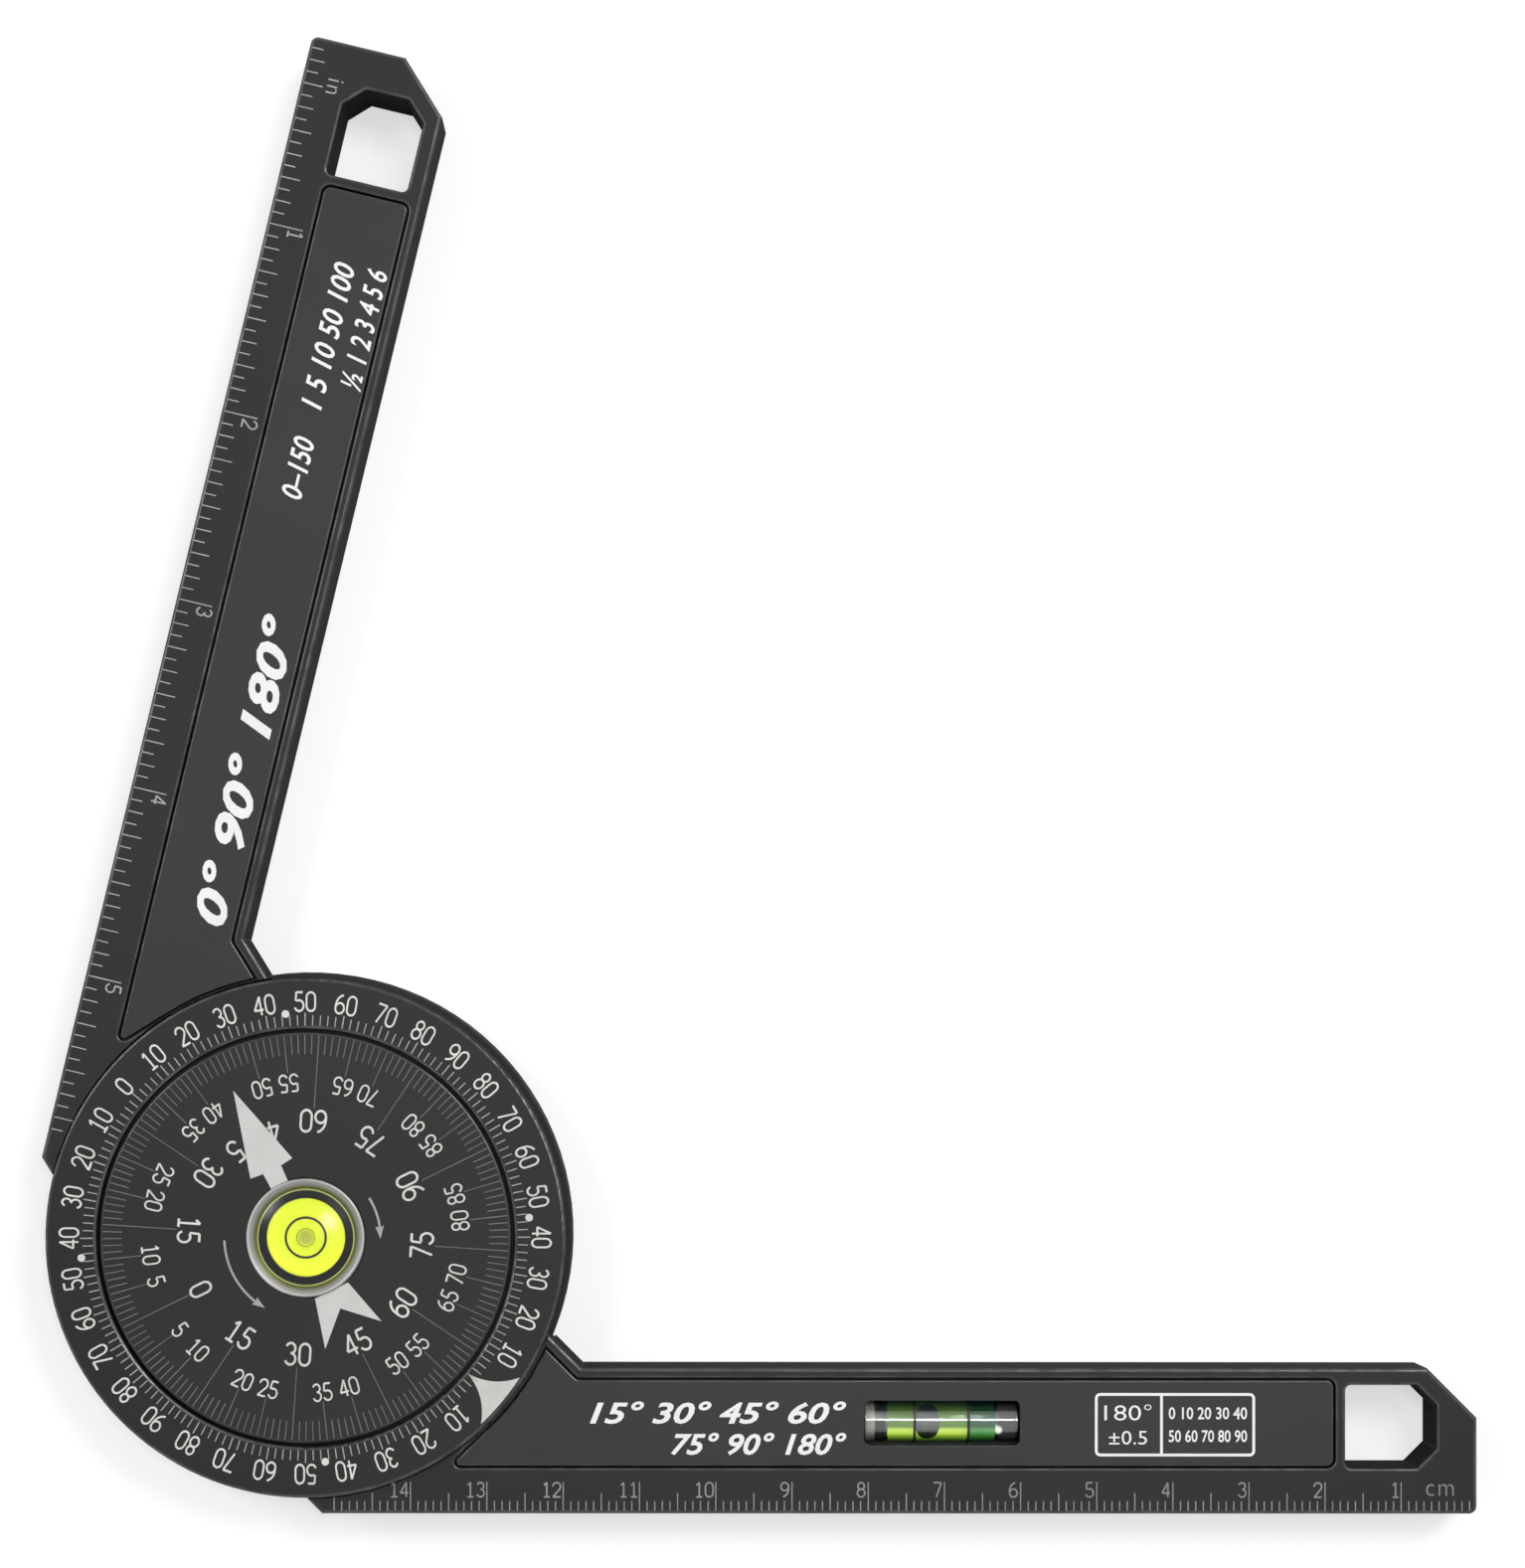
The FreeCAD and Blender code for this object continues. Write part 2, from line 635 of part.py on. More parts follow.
def scale_ring():
    """The ring on the base plate that carries the outer scale, with blind holes for its screws."""
    body = new_body("scale_ring")
    top = PLATE_TOP + size("ring_thickness")
    turned = revolve(body, "Profile", tube_profile(RING_BORE, PLATE_RADIUS, PLATE_TOP, top))
    round_edges(body, "TopRound", turned, level_edges(turned, (top,)), size("ring_edge_round"))
    hole = new_sketch(body, "ScrewHole", PLATE_TOP - OVERRUN)
    draw_circle(hole, size("ring_screw_shank_radius") + size("screw_fit"), RING_SCREW_CIRCLE)
    bite = cut_up(body, hole, size("ring_screw_bite") + size("seat_fit") + OVERRUN)
    polar(body, "ScrewHoles", [bite], RING_SCREWS)
    return body


def screws(label, places, circle, head, shank, turned=False):
    """Screws that stand head down on a circle: the places are head bottom, head top and shank top."""
    bottom, under, top = places
    body = new_body(label, turned)
    round_head = new_sketch(body, "Head", bottom)
    draw_circle(round_head, head, circle)
    head_part = pad(body, round_head, under - bottom)
    stem = new_sketch(body, "Shank", under)
    draw_circle(stem, shank, circle)
    stem_part = pad(body, stem, top - under)
    socket = new_sketch(body, "Socket", bottom - OVERRUN)
    corners = [math.radians(FULL_TURN * step / 6) for step in range(6)]
    key = head * SOCKET_SHARE
    draw_outline(socket, [(circle + key * math.cos(a), key * math.sin(a)) for a in corners])
    socket_part = cut_up(body, socket, (under - bottom) * SOCKET_DEPTH_SHARE + OVERRUN)
    return body, [head_part, stem_part, socket_part]


def ring_screws():
    """The six screws that hold the scale ring, hidden under the glide washer."""
    bottom = PLATE_BOTTOM + size("seat_fit")
    under = bottom + size("ring_screw_head_height")
    top = PLATE_TOP + size("ring_screw_bite")
    circle = RING_SCREW_CIRCLE
    head = size("ring_screw_head_radius")
    shank = size("ring_screw_shank_radius")
    body, parts = screws("ring_screws", (bottom, under, top), circle, head, shank)
    polar(body, "Copies", parts, RING_SCREWS)
    return body


def dial_screws():
    """The four screws that pull the dial's pegs down into the boss, reached from the back."""
    bottom = CAVITY_TOP - size("dial_screw_head_height")
    top = DIAL_BOTTOM - size("dial_peg_length") + size("dial_screw_bite")
    circle = DIAL_SCREW_CIRCLE
    head = size("dial_screw_head_radius")
    shank = size("dial_screw_shank_radius")
    body, parts = screws("dial_screws", (bottom, CAVITY_TOP, top), circle, head, shank, turned=True)
    polar(body, "Copies", parts, DIAL_SCREWS)
    return body


def dial():
    """The round plate with the inner scale. Its rim runs over the base plate and keeps it in."""
    body = new_body("dial", turned=True)
    hole = SLEEVE_RADIUS + size("seat_fit")
    turned = revolve(body, "Profile", tube_profile(hole, DIAL_RADIUS, DIAL_BOTTOM, DIAL_TOP))
    rim = [
        name for name in level_edges(turned, (DIAL_TOP,))
        if turned.Shape.getElement(name).Curve.Radius > size("bezel_radius").value
    ]
    round_edges(body, "TopRound", turned, rim, size("dial_edge_round"))
    flange = new_sketch(body, "FlangeRoom", DIAL_TOP - size("bezel_sink"))
    draw_circle(flange, size("bezel_radius") + size("seat_fit"))
    cut_up(body, flange, size("bezel_sink") + OVERRUN)
    peg = new_sketch(body, "Peg", DIAL_BOTTOM - size("dial_peg_length"))
    draw_circle(peg, PEG_RADIUS, DIAL_SCREW_CIRCLE)
    peg_part = pad(body, peg, size("dial_peg_length"))
    hole = new_sketch(body, "PegHole", DIAL_BOTTOM - size("dial_peg_length") - OVERRUN)
    draw_circle(hole, size("dial_screw_shank_radius") + size("screw_fit"), DIAL_SCREW_CIRCLE)
    hole_part = cut_up(body, hole, size("dial_screw_bite") + size("seat_fit") + OVERRUN)
    polar(body, "Pegs", [peg_part, hole_part], DIAL_SCREWS)
    return body


def glide_washer():
    """The thin washer under the base plate that the swing disc slides on."""
    body = new_body("glide_washer")
    inner = BOSS_RADIUS + size("glide_bore_gap")
    bottom = DISC_TOP + size("glide_play")
    outer = PLATE_RADIUS - size("glide_rim")
    revolve(body, "Profile", tube_profile(inner, outer, bottom, PLATE_BOTTOM))
    return body


def friction_washer():
    """The spring washer that the dial presses on the base plate, so the arms stay where they are set."""
    body = new_body("friction_washer", turned=True)
    inner = BOSS_RADIUS + size("friction_bore_gap")
    outer = DIAL_RADIUS - size("friction_rim")
    bottom = DIAL_BOTTOM - size("friction_thickness")
    revolve(body, "Profile", tube_profile(inner, outer, bottom, DIAL_BOTTOM))
    return body


def back_cap():
    """The round cover that is pressed into the back of the disc over the screws."""
    body = new_body("back_cap", turned=True)
    turned = revolve(body, "Profile", tube_profile(ZERO, CAP_RADIUS, ZERO, size("cap_thickness")))
    round_edges(body, "Rim", turned, level_edges(turned, (ZERO,)), size("cap_edge_round"))
    return body


def bullseye_bezel():
    """The metal ring round the level: a flange on the dial and a sleeve down into the boss."""
    body = new_body("bullseye_bezel", turned=True)
    bore = BEZEL_BORE
    sleeve = SLEEVE_RADIUS
    flange = DIAL_TOP - size("bezel_sink")
    profile = [
        (bore, LEVEL_BOTTOM),
        (sleeve, LEVEL_BOTTOM),
        (sleeve, flange),
        (size("bezel_radius"), flange),
        (size("bezel_radius"), LEVEL_TOP),
        (bore, LEVEL_TOP),
    ]
    turned = revolve(body, "Profile", profile)
    round_edges(body, "TopRound", turned, level_edges(turned, (LEVEL_TOP,)), size("bezel_edge_round"))
    return body


def bullseye_cup():
    """The dark cup that holds the liquid."""
    body = new_body("bullseye_cup", turned=True)
    profile = [
        (ZERO, LEVEL_BOTTOM),
        (CUP_RADIUS, LEVEL_BOTTOM),
        (CUP_RADIUS, LENS_BOTTOM),
        (CUP_BORE, LENS_BOTTOM),
        (CUP_BORE, CUP_INSIDE),
        (ZERO, CUP_INSIDE),
    ]
    revolve(body, "Profile", profile)
    return body


def bullseye_pad():
    """The yellow disc at the bottom of the cup."""
    body = new_body("bullseye_pad", turned=True)
    top = CUP_INSIDE + size("pad_thickness")
    revolve(body, "Profile", tube_profile(ZERO, CUP_BORE - size("vial_fit"), CUP_INSIDE, top))
    return body


def bullseye_lens():
    """The clear disc that closes the level."""
    body = new_body("bullseye_lens", turned=True)
    revolve(body, "Profile", tube_profile(ZERO, CUP_RADIUS, LENS_BOTTOM, LENS_TOP))
    return body


def cylinder(name, radius, height, place, along_x=False):
    part = doc.addObject("Part::Cylinder", name)
    bind(part, "Radius", radius)
    bind(part, "Height", height)
    if along_x:
        turn = FreeCAD.Rotation(FreeCAD.Vector(0, 1, 0), FULL_TURN / 4)
        part.Placement = FreeCAD.Placement(FreeCAD.Vector(), turn)
    for axis, amount in zip("xyz", place):
        bind(part, f"Placement.Base.{axis}", amount)
    return part


def ellipsoid(name, half_sizes, place):
    part = doc.addObject("Part::Ellipsoid", name)
    half_x, half_y, half_z = half_sizes
    bind(part, "Radius1", half_z)
    bind(part, "Radius2", half_x)
    bind(part, "Radius3", half_y)
    for axis, amount in zip("xyz", place):
        bind(part, f"Placement.Base.{axis}", amount)
    return part


def cut_piece(label, base, tool):
    part = doc.addObject("Part::Cut", label)
    part.Label = label
    part.Base = base
    part.Tool = tool
    return part


def bullseye_fluid():
    """The level's liquid, with the round bubble left out under the lens."""
    bottom = CUP_INSIDE + size("pad_thickness")
    height = LENS_BOTTOM - bottom
    radius = CUP_BORE - size("vial_fit")
    whole = cylinder("BullseyeFluidWhole", radius, height, (ZERO, ZERO, bottom))
    spot = size("spot_radius")
    bubble = ellipsoid("BullseyeBubble", (spot, spot, size("spot_depth")), (ZERO, ZERO, LENS_BOTTOM))
    return cut_piece("bullseye_fluid", whole, bubble)


def vial_body(label):
    return new_body(label, place=(VIAL_X, VIAL_Y, VIAL_Z))


def mirrored(body, features):
    feature = body.newObject("PartDesign::Mirrored", "OtherEnd")
    feature.Originals = features
    feature.MirrorPlane = (origin_part(body, "YZ_Plane"), [""])
    body.Tip = feature


def vial_tube():
    """The clear tube of the level, drawn about its own middle."""
    body = vial_body("vial_tube")
    sketch = new_sketch(body, "Section", plane="YZ_Plane")
    draw_circle(sketch, TUBE_RADIUS)
    draw_circle(sketch, TUBE_BORE)
    stem_end = TUBE_HALF_LENGTH - size("plug_flange_length")
    pad(body, sketch, stem_end * 2, both_ways=True)
    return body


def vial_plugs():
    """The two end plugs: a flange against the tube's end and a stem inside it."""
    body = vial_body("vial_plugs")
    flange_start = TUBE_HALF_LENGTH - size("plug_flange_length")
    flange = new_sketch(body, "Flange", flange_start, "YZ_Plane")
    draw_circle(flange, TUBE_RADIUS)
    flange_part = pad(body, flange, size("plug_flange_length"))
    stem = new_sketch(body, "Stem", flange_start - size("plug_stem_length"), "YZ_Plane")
    draw_circle(stem, TUBE_BORE - size("vial_fit"))
    stem_part = pad(body, stem, size("plug_stem_length"))
    mirrored(body, [flange_part, stem_part])
    return body


def vial_rings():
    """The two thin black rings that the bubble is read between."""
    body = vial_body("vial_rings")
    inner = TUBE_RADIUS + size("vial_fit")
    start = (size("mark_spacing") - size("mark_length")) / 2
    sketch = new_sketch(body, "Section", start, "YZ_Plane")
    draw_circle(sketch, inner)
    draw_circle(sketch, inner + size("mark_thickness"))
    mirrored(body, [pad(body, sketch, size("mark_length"))])
    return body


def vial_liquid():
    """The green liquid between the plugs, with the bubble left out at its top."""
    half = TUBE_HALF_LENGTH - size("plug_flange_length") - size("plug_stem_length")
    radius = TUBE_BORE - size("vial_fit")
    start = (VIAL_X - half, VIAL_Y, VIAL_Z)
    whole = cylinder("VialLiquidWhole", radius, half * 2, start, along_x=True)
    half_sizes = (size("bubble_half_length"), size("bubble_half_width"), size("bubble_half_height"))
    place = (VIAL_X + size("bubble_place"), VIAL_Y, VIAL_Z + radius - size("bubble_half_height") / 2)
    return cut_piece("vial_liquid", whole, ellipsoid("VialBubble", half_sizes, place))


def vial_bed():
    """The cradle in the tray that the tube lies in."""
    body = new_body("vial_bed")
    half = BAY_HALF_LENGTH - size("bed_end_gap")
    width = TUBE_RADIUS + size("bed_wall")
    sides = ((-1, -1), (1, -1), (1, 1), (-1, 1))
    block = new_sketch(body, "Block", size("floor_thickness"))
    draw_outline(block, [(VIAL_X + half * a, VIAL_Y + width * b) for a, b in sides])
    pad(body, block, VIAL_Z - size("floor_thickness") - size("bed_drop"))
    groove = new_sketch(body, "Groove", VIAL_X - half - OVERRUN, "YZ_Plane")
    room = size("vial_fit") * 2 + size("mark_thickness")
    draw_circle(groove, TUBE_RADIUS + room, VIAL_Y, VIAL_Z)
    cut_up(body, groove, half * 2 + OVERRUN * 2)
    return body


PIECES = [
    base_arm,
    base_panel,
    scale_ring,
    ring_screws,
    glide_washer,
    vial_bed,
    vial_tube,
    vial_plugs,
    vial_rings,
    vial_liquid,
    swing_arm,
    swing_panel,
    dial,
    dial_screws,
    friction_washer,
    back_cap,
    bullseye_bezel,
    bullseye_cup,
    bullseye_pad,
    bullseye_fluid,
    bullseye_lens,
]
pieces = [make() for make in PIECES]
doc.recompute()

for thing in doc.Objects:
    if "Invalid" in thing.State or "Error" in thing.State:
        raise RuntimeError(f"{thing.Name} failed: {thing.State}")
for piece in pieces:
    if piece.Shape.isNull() or not piece.Shape.isValid():
        raise RuntimeError(f"{piece.Label} has no valid shape")

os.makedirs("parts", exist_ok=True)
for piece in pieces:
    shape = piece.Shape
    shape.exportStep(f"parts/{piece.Label}.step")
    print(f"{piece.Label}: {len(shape.Solids)} solids, {shape.Volume:.1f} mm3")
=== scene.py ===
import math

import bpy
from mathutils import Matrix, Vector


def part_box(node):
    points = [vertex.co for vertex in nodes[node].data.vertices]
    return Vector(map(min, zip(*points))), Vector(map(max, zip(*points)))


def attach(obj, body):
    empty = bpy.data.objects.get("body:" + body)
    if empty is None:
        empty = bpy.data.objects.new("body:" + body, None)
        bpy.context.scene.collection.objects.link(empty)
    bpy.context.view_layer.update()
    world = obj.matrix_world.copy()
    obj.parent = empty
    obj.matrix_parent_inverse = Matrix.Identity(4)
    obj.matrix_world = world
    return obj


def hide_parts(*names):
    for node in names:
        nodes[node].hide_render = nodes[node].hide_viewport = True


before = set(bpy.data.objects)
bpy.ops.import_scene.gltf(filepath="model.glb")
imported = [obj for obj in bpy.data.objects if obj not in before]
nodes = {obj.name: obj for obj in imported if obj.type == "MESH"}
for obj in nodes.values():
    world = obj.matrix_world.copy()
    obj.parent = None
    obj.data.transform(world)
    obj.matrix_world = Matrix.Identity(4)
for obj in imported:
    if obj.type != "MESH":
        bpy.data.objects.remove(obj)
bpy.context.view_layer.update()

# The table and the studio round the tool.
# A pale table top lies just under it. Soft round lamps stand at the upper right and the upper left, a
# small bright one hangs above, and even light comes from all round.
MM = 0.001
TOOL_MIDDLE = (60 * MM, 60 * MM)
TABLE_SIDE = 4.0
TABLE_DROP = 0.05 * MM
TABLE_TONES = (0.50, 0.50, 0.50), (0.52, 0.52, 0.52)
TABLE_AS_SEEN = (0.58, 0.58, 0.58)
FIBRE_SCALE = 30
SKY_ON_DULL = 0.42


def feed(node, values):
    """Sets a node's inputs: to a value, or to a link where the value is a node or one of its outputs."""
    for label, value in values.items():
        if isinstance(value, bpy.types.Node):
            value = next(socket for socket in value.outputs if socket.enabled)
        if isinstance(value, bpy.types.NodeSocket):
            node.id_data.links.new(value, node.inputs[label])
        else:
            node.inputs[label].default_value = value
    return node


def add(tree, kind, values=None, **settings):
    """A shader node of a kind, with its settings and its inputs."""
    node = tree.nodes.new("ShaderNode" + kind)
    for label, setting in settings.items():
        setattr(node, label, setting)
    return feed(node, values or {})


def mix_colours(factor, first, second, **settings):
    """A mix of two colours by a node, each of them three numbers, a node or its output."""
    sides = {"Factor": factor, "A": first, "B": second}
    for label in "AB":
        if not isinstance(sides[label], (bpy.types.Node, bpy.types.NodeSocket)):
            sides[label] = (*sides[label], 1)
    return add(factor.id_data, "Mix", sides, data_type="RGBA", **settings)


def maths(operation, first, second, **settings):
    """One value worked out from two nodes' values."""
    return add(first.id_data, "Math", {0: first, 1: second}, operation=operation, **settings)


def spread(value, low, high, **settings):
    """A node's value between low and high, drawn out to 0 to 1."""
    return add(value.id_data, "MapRange", {"Value": value, "From Min": low, "From Max": high}, **settings)


def new_material(name):
    """A material with its tree, its shader and its object coordinates."""
    material = bpy.data.materials.new(name)
    material.use_nodes = True
    tree = material.node_tree
    return material, tree, tree.nodes["Principled BSDF"], add(tree, "TexCoord").outputs["Object"]


bpy.ops.object.select_all(action="DESELECT")
bpy.ops.mesh.primitive_plane_add(size=TABLE_SIDE, location=(*TOOL_MIDDLE, -TABLE_DROP))
table = bpy.context.object
table.name = "table_top"
table_paper, paper_tree, paper_shader, paper_place = new_material("table_paper")
paper_fibre = add(paper_tree, "TexNoise", {"Vector": paper_place, "Scale": FIBRE_SCALE})
feed(paper_shader, {
    "Base Color": mix_colours(paper_fibre, *TABLE_TONES),
    "Roughness": 0.9,
    "Specular IOR Level": 0.1,
    "Emission Color": (*TABLE_AS_SEEN, 1),
    "Emission Strength": add(paper_tree, "LightPath").outputs["Is Camera Ray"],
})
table.data.materials.append(table_paper)

studio = bpy.data.worlds.new("studio")
studio.use_nodes = True
bpy.context.scene.world = studio
sky_tree = studio.node_tree
ray = add(sky_tree, "LightPath").outputs
seen_or_mirrored = maths("MAXIMUM", ray["Is Camera Ray"], ray["Is Glossy Ray"])
seen_through = maths("MAXIMUM", seen_or_mirrored, ray["Is Transmission Ray"])
sky_strength = add(sky_tree, "MapRange", {"Value": seen_through, "To Min": SKY_ON_DULL, "To Max": 1.0})
feed(sky_tree.nodes["Background"], {"Color": (1, 1, 1, 1), "Strength": sky_strength})


def hang_lamp(name, place, side, watts):
    """A round soft lamp that looks at the middle of the tool."""
    bpy.ops.object.light_add(type="AREA", location=place)
    lamp = bpy.context.object
    lamp.name = name
    lamp.data.shape = "DISK"
    lamp.data.size = side
    lamp.data.energy = watts
    aim = Vector((*TOOL_MIDDLE, 0)) - Vector(place)
    lamp.rotation_euler = aim.to_track_quat("-Z", "Y").to_euler()
    return lamp


hang_lamp("lamp_right", (0.50, 0.47, 0.88), 0.45, 5.2)
hang_lamp("lamp_left", (-0.62, 0.35, 0.85), 0.4, 3.3)
lamp_strip = hang_lamp("lamp_strip", (0.153, 0.113, 0.90), 0.15, 0.85)
lamp_strip.data.shape = "RECTANGLE"
lamp_strip.data.size_y = 0.09

# The camera, straight above the tool and a little off its middle, as in the photograph.
# Its place, turn and focal length come from points of the arms and the hub.
CAMERA_PLACE = (46.12 * MM, 28.26 * MM, 474.79 * MM)
CAMERA_TURN = (0.0078, -0.0077, 0.0014)
PHOTO_SIDE = 1577
FOCAL_IN_PIXELS = 3570.0
SHIFT_IN_PIXELS = (77.0, 211.5)
SENSOR = 36.0
bpy.ops.object.camera_add(location=CAMERA_PLACE, rotation=CAMERA_TURN)
camera = bpy.context.object
camera.data.sensor_width = SENSOR
camera.data.lens = FOCAL_IN_PIXELS * SENSOR / PHOTO_SIDE
camera.data.shift_x = SHIFT_IN_PIXELS[0] / PHOTO_SIDE
camera.data.shift_y = SHIFT_IN_PIXELS[1] / PHOTO_SIDE
camera.data.clip_start = 0.01
camera.data.clip_end = 20
bpy.context.scene.camera = camera
bpy.context.scene.view_settings.view_transform = "Standard"

# The two arms.
# Each is one injection moulding in black plastic, satin from a fine spark-eroded mould, with a tray
# for its cover, a hang hole and small rounds that rub lighter where hands and steel touch them.
# The walls of moulded pieces are painted this much darker as shade, and made rougher.
WALL_PAINTED_SHADE = 0.6
WALL_ROUGHNESS = 0.75
EDGE_POLISH = 0.6
EDGE_COAT_ROUGHNESS = 0.16
GRAIN_REACH = 0.02 * MM
FINE_REACH = 0.01 * MM


def new_effect(name, takes, gives):
    """An empty shader group, the sockets it takes (name: number, or None for a place) and its end."""
    group = bpy.data.node_groups.new(name, "ShaderNodeTree")
    for label, value in takes.items():
        kind = "NodeSocketVector" if value is None else "NodeSocketFloat"
        socket = group.interface.new_socket(name=label, in_out="INPUT", socket_type=kind)
        if value is not None:
            socket.default_value = value
    for label, kind in gives.items():
        group.interface.new_socket(name=label, in_out="OUTPUT", socket_type="NodeSocket" + kind)
    return group, group.nodes.new("NodeGroupInput").outputs, group.nodes.new("NodeGroupOutput")


mould_grain, grain_in, grain_out = new_effect(
    "mould_grain", {"Place": None, "Grains": 3000.0, "Clouds": 25.0}, {"Height": "Float", "Cloud": "Float"}
)
fine_noise = add(mould_grain, "TexNoise", {
    "Vector": grain_in["Place"], "Scale": grain_in["Grains"], "Detail": 3,
})
cloud_noise = add(mould_grain, "TexNoise", {
    "Vector": grain_in["Place"], "Scale": grain_in["Clouds"], "Detail": 4, "Roughness": 0.6,
})
cloud_range = spread(cloud_noise, 0.3, 0.7)
feed(grain_out, {"Height": fine_noise, "Cloud": cloud_range})


def upright(tree, normal):
    """How far a normal points straight up or down, from 0 to 1."""
    axes = add(tree, "SeparateXYZ", {0: normal})
    return add(tree, "Math", {0: axes.outputs["Z"]}, operation="ABSOLUTE")


# Rubbed are the corners, where a rounded normal leaves the face's own, and the real rounds, which are
# neither flat nor wall. Both are broken up into patches.
edge_rub, rub_in, rub_out = new_effect(
    "edge_rub",
    {"Place": None, "Amount": 0.5, "Patches": 400.0, "Round": 0.1 * MM},
    {"Rub": "Float", "Wall": "Float", "Rounded": "Vector"},
)
rub_face = add(edge_rub, "NewGeometry")
rub_round = add(edge_rub, "Bevel", {"Radius": rub_in["Round"]}, samples=4)
rub_turn = add(
    edge_rub, "VectorMath", {0: rub_round, 1: rub_face.outputs["Normal"]}, operation="DOT_PRODUCT"
)
rub_corner = spread(rub_turn, 0.99, 0.80)
rub_noise = add(edge_rub, "TexNoise", {"Vector": rub_in["Place"], "Scale": rub_in["Patches"], "Detail": 5})
rub_patches = add(edge_rub, "MapRange", {
    "Value": rub_noise, "From Min": 0.35, "From Max": 0.65, "To Min": 0.35,
})
rub_tilt = upright(edge_rub, rub_round)
rub_leave_flat = spread(rub_tilt, 0.9994, 0.988)
rub_leave_wall = spread(rub_tilt, 0.35, 0.6)
rub_slope = maths("MULTIPLY", rub_leave_flat, rub_leave_wall)
rub_either = maths("MAXIMUM", rub_slope, rub_corner)
rub_mask = maths("MULTIPLY", rub_either, rub_patches)
rub_share = maths("MULTIPLY", rub_mask, rub_in["Amount"], use_clamp=True)
rub_up = upright(edge_rub, rub_face.outputs["Normal"])
rub_wall = spread(rub_up, 0.3, 0.05)
feed(rub_out, {"Rub": rub_share, "Wall": rub_wall, "Rounded": rub_round})


def place_group(group, place, **values):
    """A shared effect in a material, with its own values, at the material's object coordinates."""
    return add(place.id_data, "Group", {"Place": place, **values}, node_tree=group)


def film_finish(shader, film, colour, rough, depth, reach, height=None):
    """Leads a colour to a shader, with a roughness that drifts with a film's clouds and a fine bump."""
    tree = shader.id_data
    height = height or film.outputs["Height"]
    feed(shader, {
        "Base Color": colour,
        "Roughness": add(tree, "MapRange", {
            "Value": film.outputs["Cloud"], "To Min": rough[0], "To Max": rough[1],
        }),
        "Normal": add(tree, "Bump", {"Strength": depth, "Distance": reach, "Height": height}),
    })


def moulded_plastic(
    name, dark, light, rubbed, gloss,
    grains=3200.0, depth=0.06, clouds=25.0, rub=0.5, shine=0.35, edge=0.05 * MM,
):
    """Moulded plastic: slow clouds of tone, fine mould grain, rubbed edges, and rougher walls with painted
    shade.
    """
    material, tree, shader, place = new_material(name)
    grain = place_group(mould_grain, place, Grains=grains, Clouds=clouds)
    worn = place_group(edge_rub, place, Amount=rub, Round=edge)
    wall, rubs = worn.outputs["Wall"], worn.outputs["Rub"]
    tone = mix_colours(grain.outputs["Cloud"], dark, light)
    # Painted shade: the walls' colour is darkened here.
    walls_painted_shade = mix_colours(wall, tone, [c * WALL_PAINTED_SHADE for c in dark])
    wear = mix_colours(rubs, walls_painted_shade, rubbed)
    film_finish(shader, grain, wear, gloss, depth, GRAIN_REACH)
    polish = shader.inputs["Roughness"].links[0].from_node
    bump = shader.inputs["Normal"].links[0].from_node
    wall_dull = add(tree, "Mix", {"Factor": wall, "A": polish, "B": WALL_ROUGHNESS})
    edge_polish = add(tree, "Mix", {"Factor": rubs, "A": wall_dull, "B": gloss[0] * EDGE_POLISH})
    feed(bump, {"Normal": worn.outputs["Rounded"]})
    feed(shader, {
        "Roughness": edge_polish,
        "Specular IOR Level": shine,
        "Coat Weight": rubs,
        "Coat Roughness": EDGE_COAT_ROUGHNESS,
    })
    return material


def finish_node(name, material):
    """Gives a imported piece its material."""
    slots = nodes[name].data.materials
    slots.clear()
    slots.append(material)


arm_plastic = moulded_plastic(
    "arm_satin_plastic", (0.0085, 0.0085, 0.0102), (0.0125, 0.0125, 0.0148), (0.045, 0.045, 0.047),
    (0.38, 0.48), rub=0.95, shine=0.24, edge=0.3 * MM,
)
finish_node("base_arm", arm_plastic)
finish_node("swing_arm", arm_plastic)

# The two panels that close the trays.
# Each is a thin plate pressed into its seat and bonded there, from the same black plastic but with a
# smoother face for the print.
panel_plastic = moulded_plastic(
    "panel_smooth_plastic", (0.0100, 0.0100, 0.0109), (0.0142, 0.0142, 0.0154), (0.04, 0.04, 0.042),
    (0.32, 0.40), depth=0.04, rub=0.8, edge=0.2 * MM,
)
finish_node("base_panel", panel_plastic)
finish_node("swing_panel", panel_plastic)

# The outer scale ring on the hub plate.
# A flat moulded ring in near-black plastic, finely matt so that its print reads without glare. Six
# screws from below hold it.
finish_node("scale_ring", moulded_plastic(
    "ring_matt_plastic", (0.0085, 0.0085, 0.0079), (0.012, 0.012, 0.0111), (0.05, 0.05, 0.048),
    (0.36, 0.46), grains=4200.0, rub=0.95, shine=0.24, edge=0.2 * MM,
))

# The dial that turns inside the ring with the swing arm.
# It is moulded in the same matt plastic and held by four screws from the back. Its edge rubs less,
# since it lies inside the ring.
finish_node("dial", moulded_plastic(
    "dial_matt_plastic", (0.009, 0.009, 0.0083), (0.0125, 0.0125, 0.0115), (0.045, 0.045, 0.043),
    (0.38, 0.48), grains=4200.0, rub=0.6, shine=0.26, edge=0.2 * MM,
))

# The round cover in the back of the swing disc.
# A plain moulded cap that snaps into its seat over the dial's screws.
finish_node("back_cap", moulded_plastic(
    "cap_plastic", (0.012, 0.012, 0.0135), (0.017, 0.017, 0.019), (0.06, 0.06, 0.063), (0.42, 0.55),
    grains=2600.0,
))

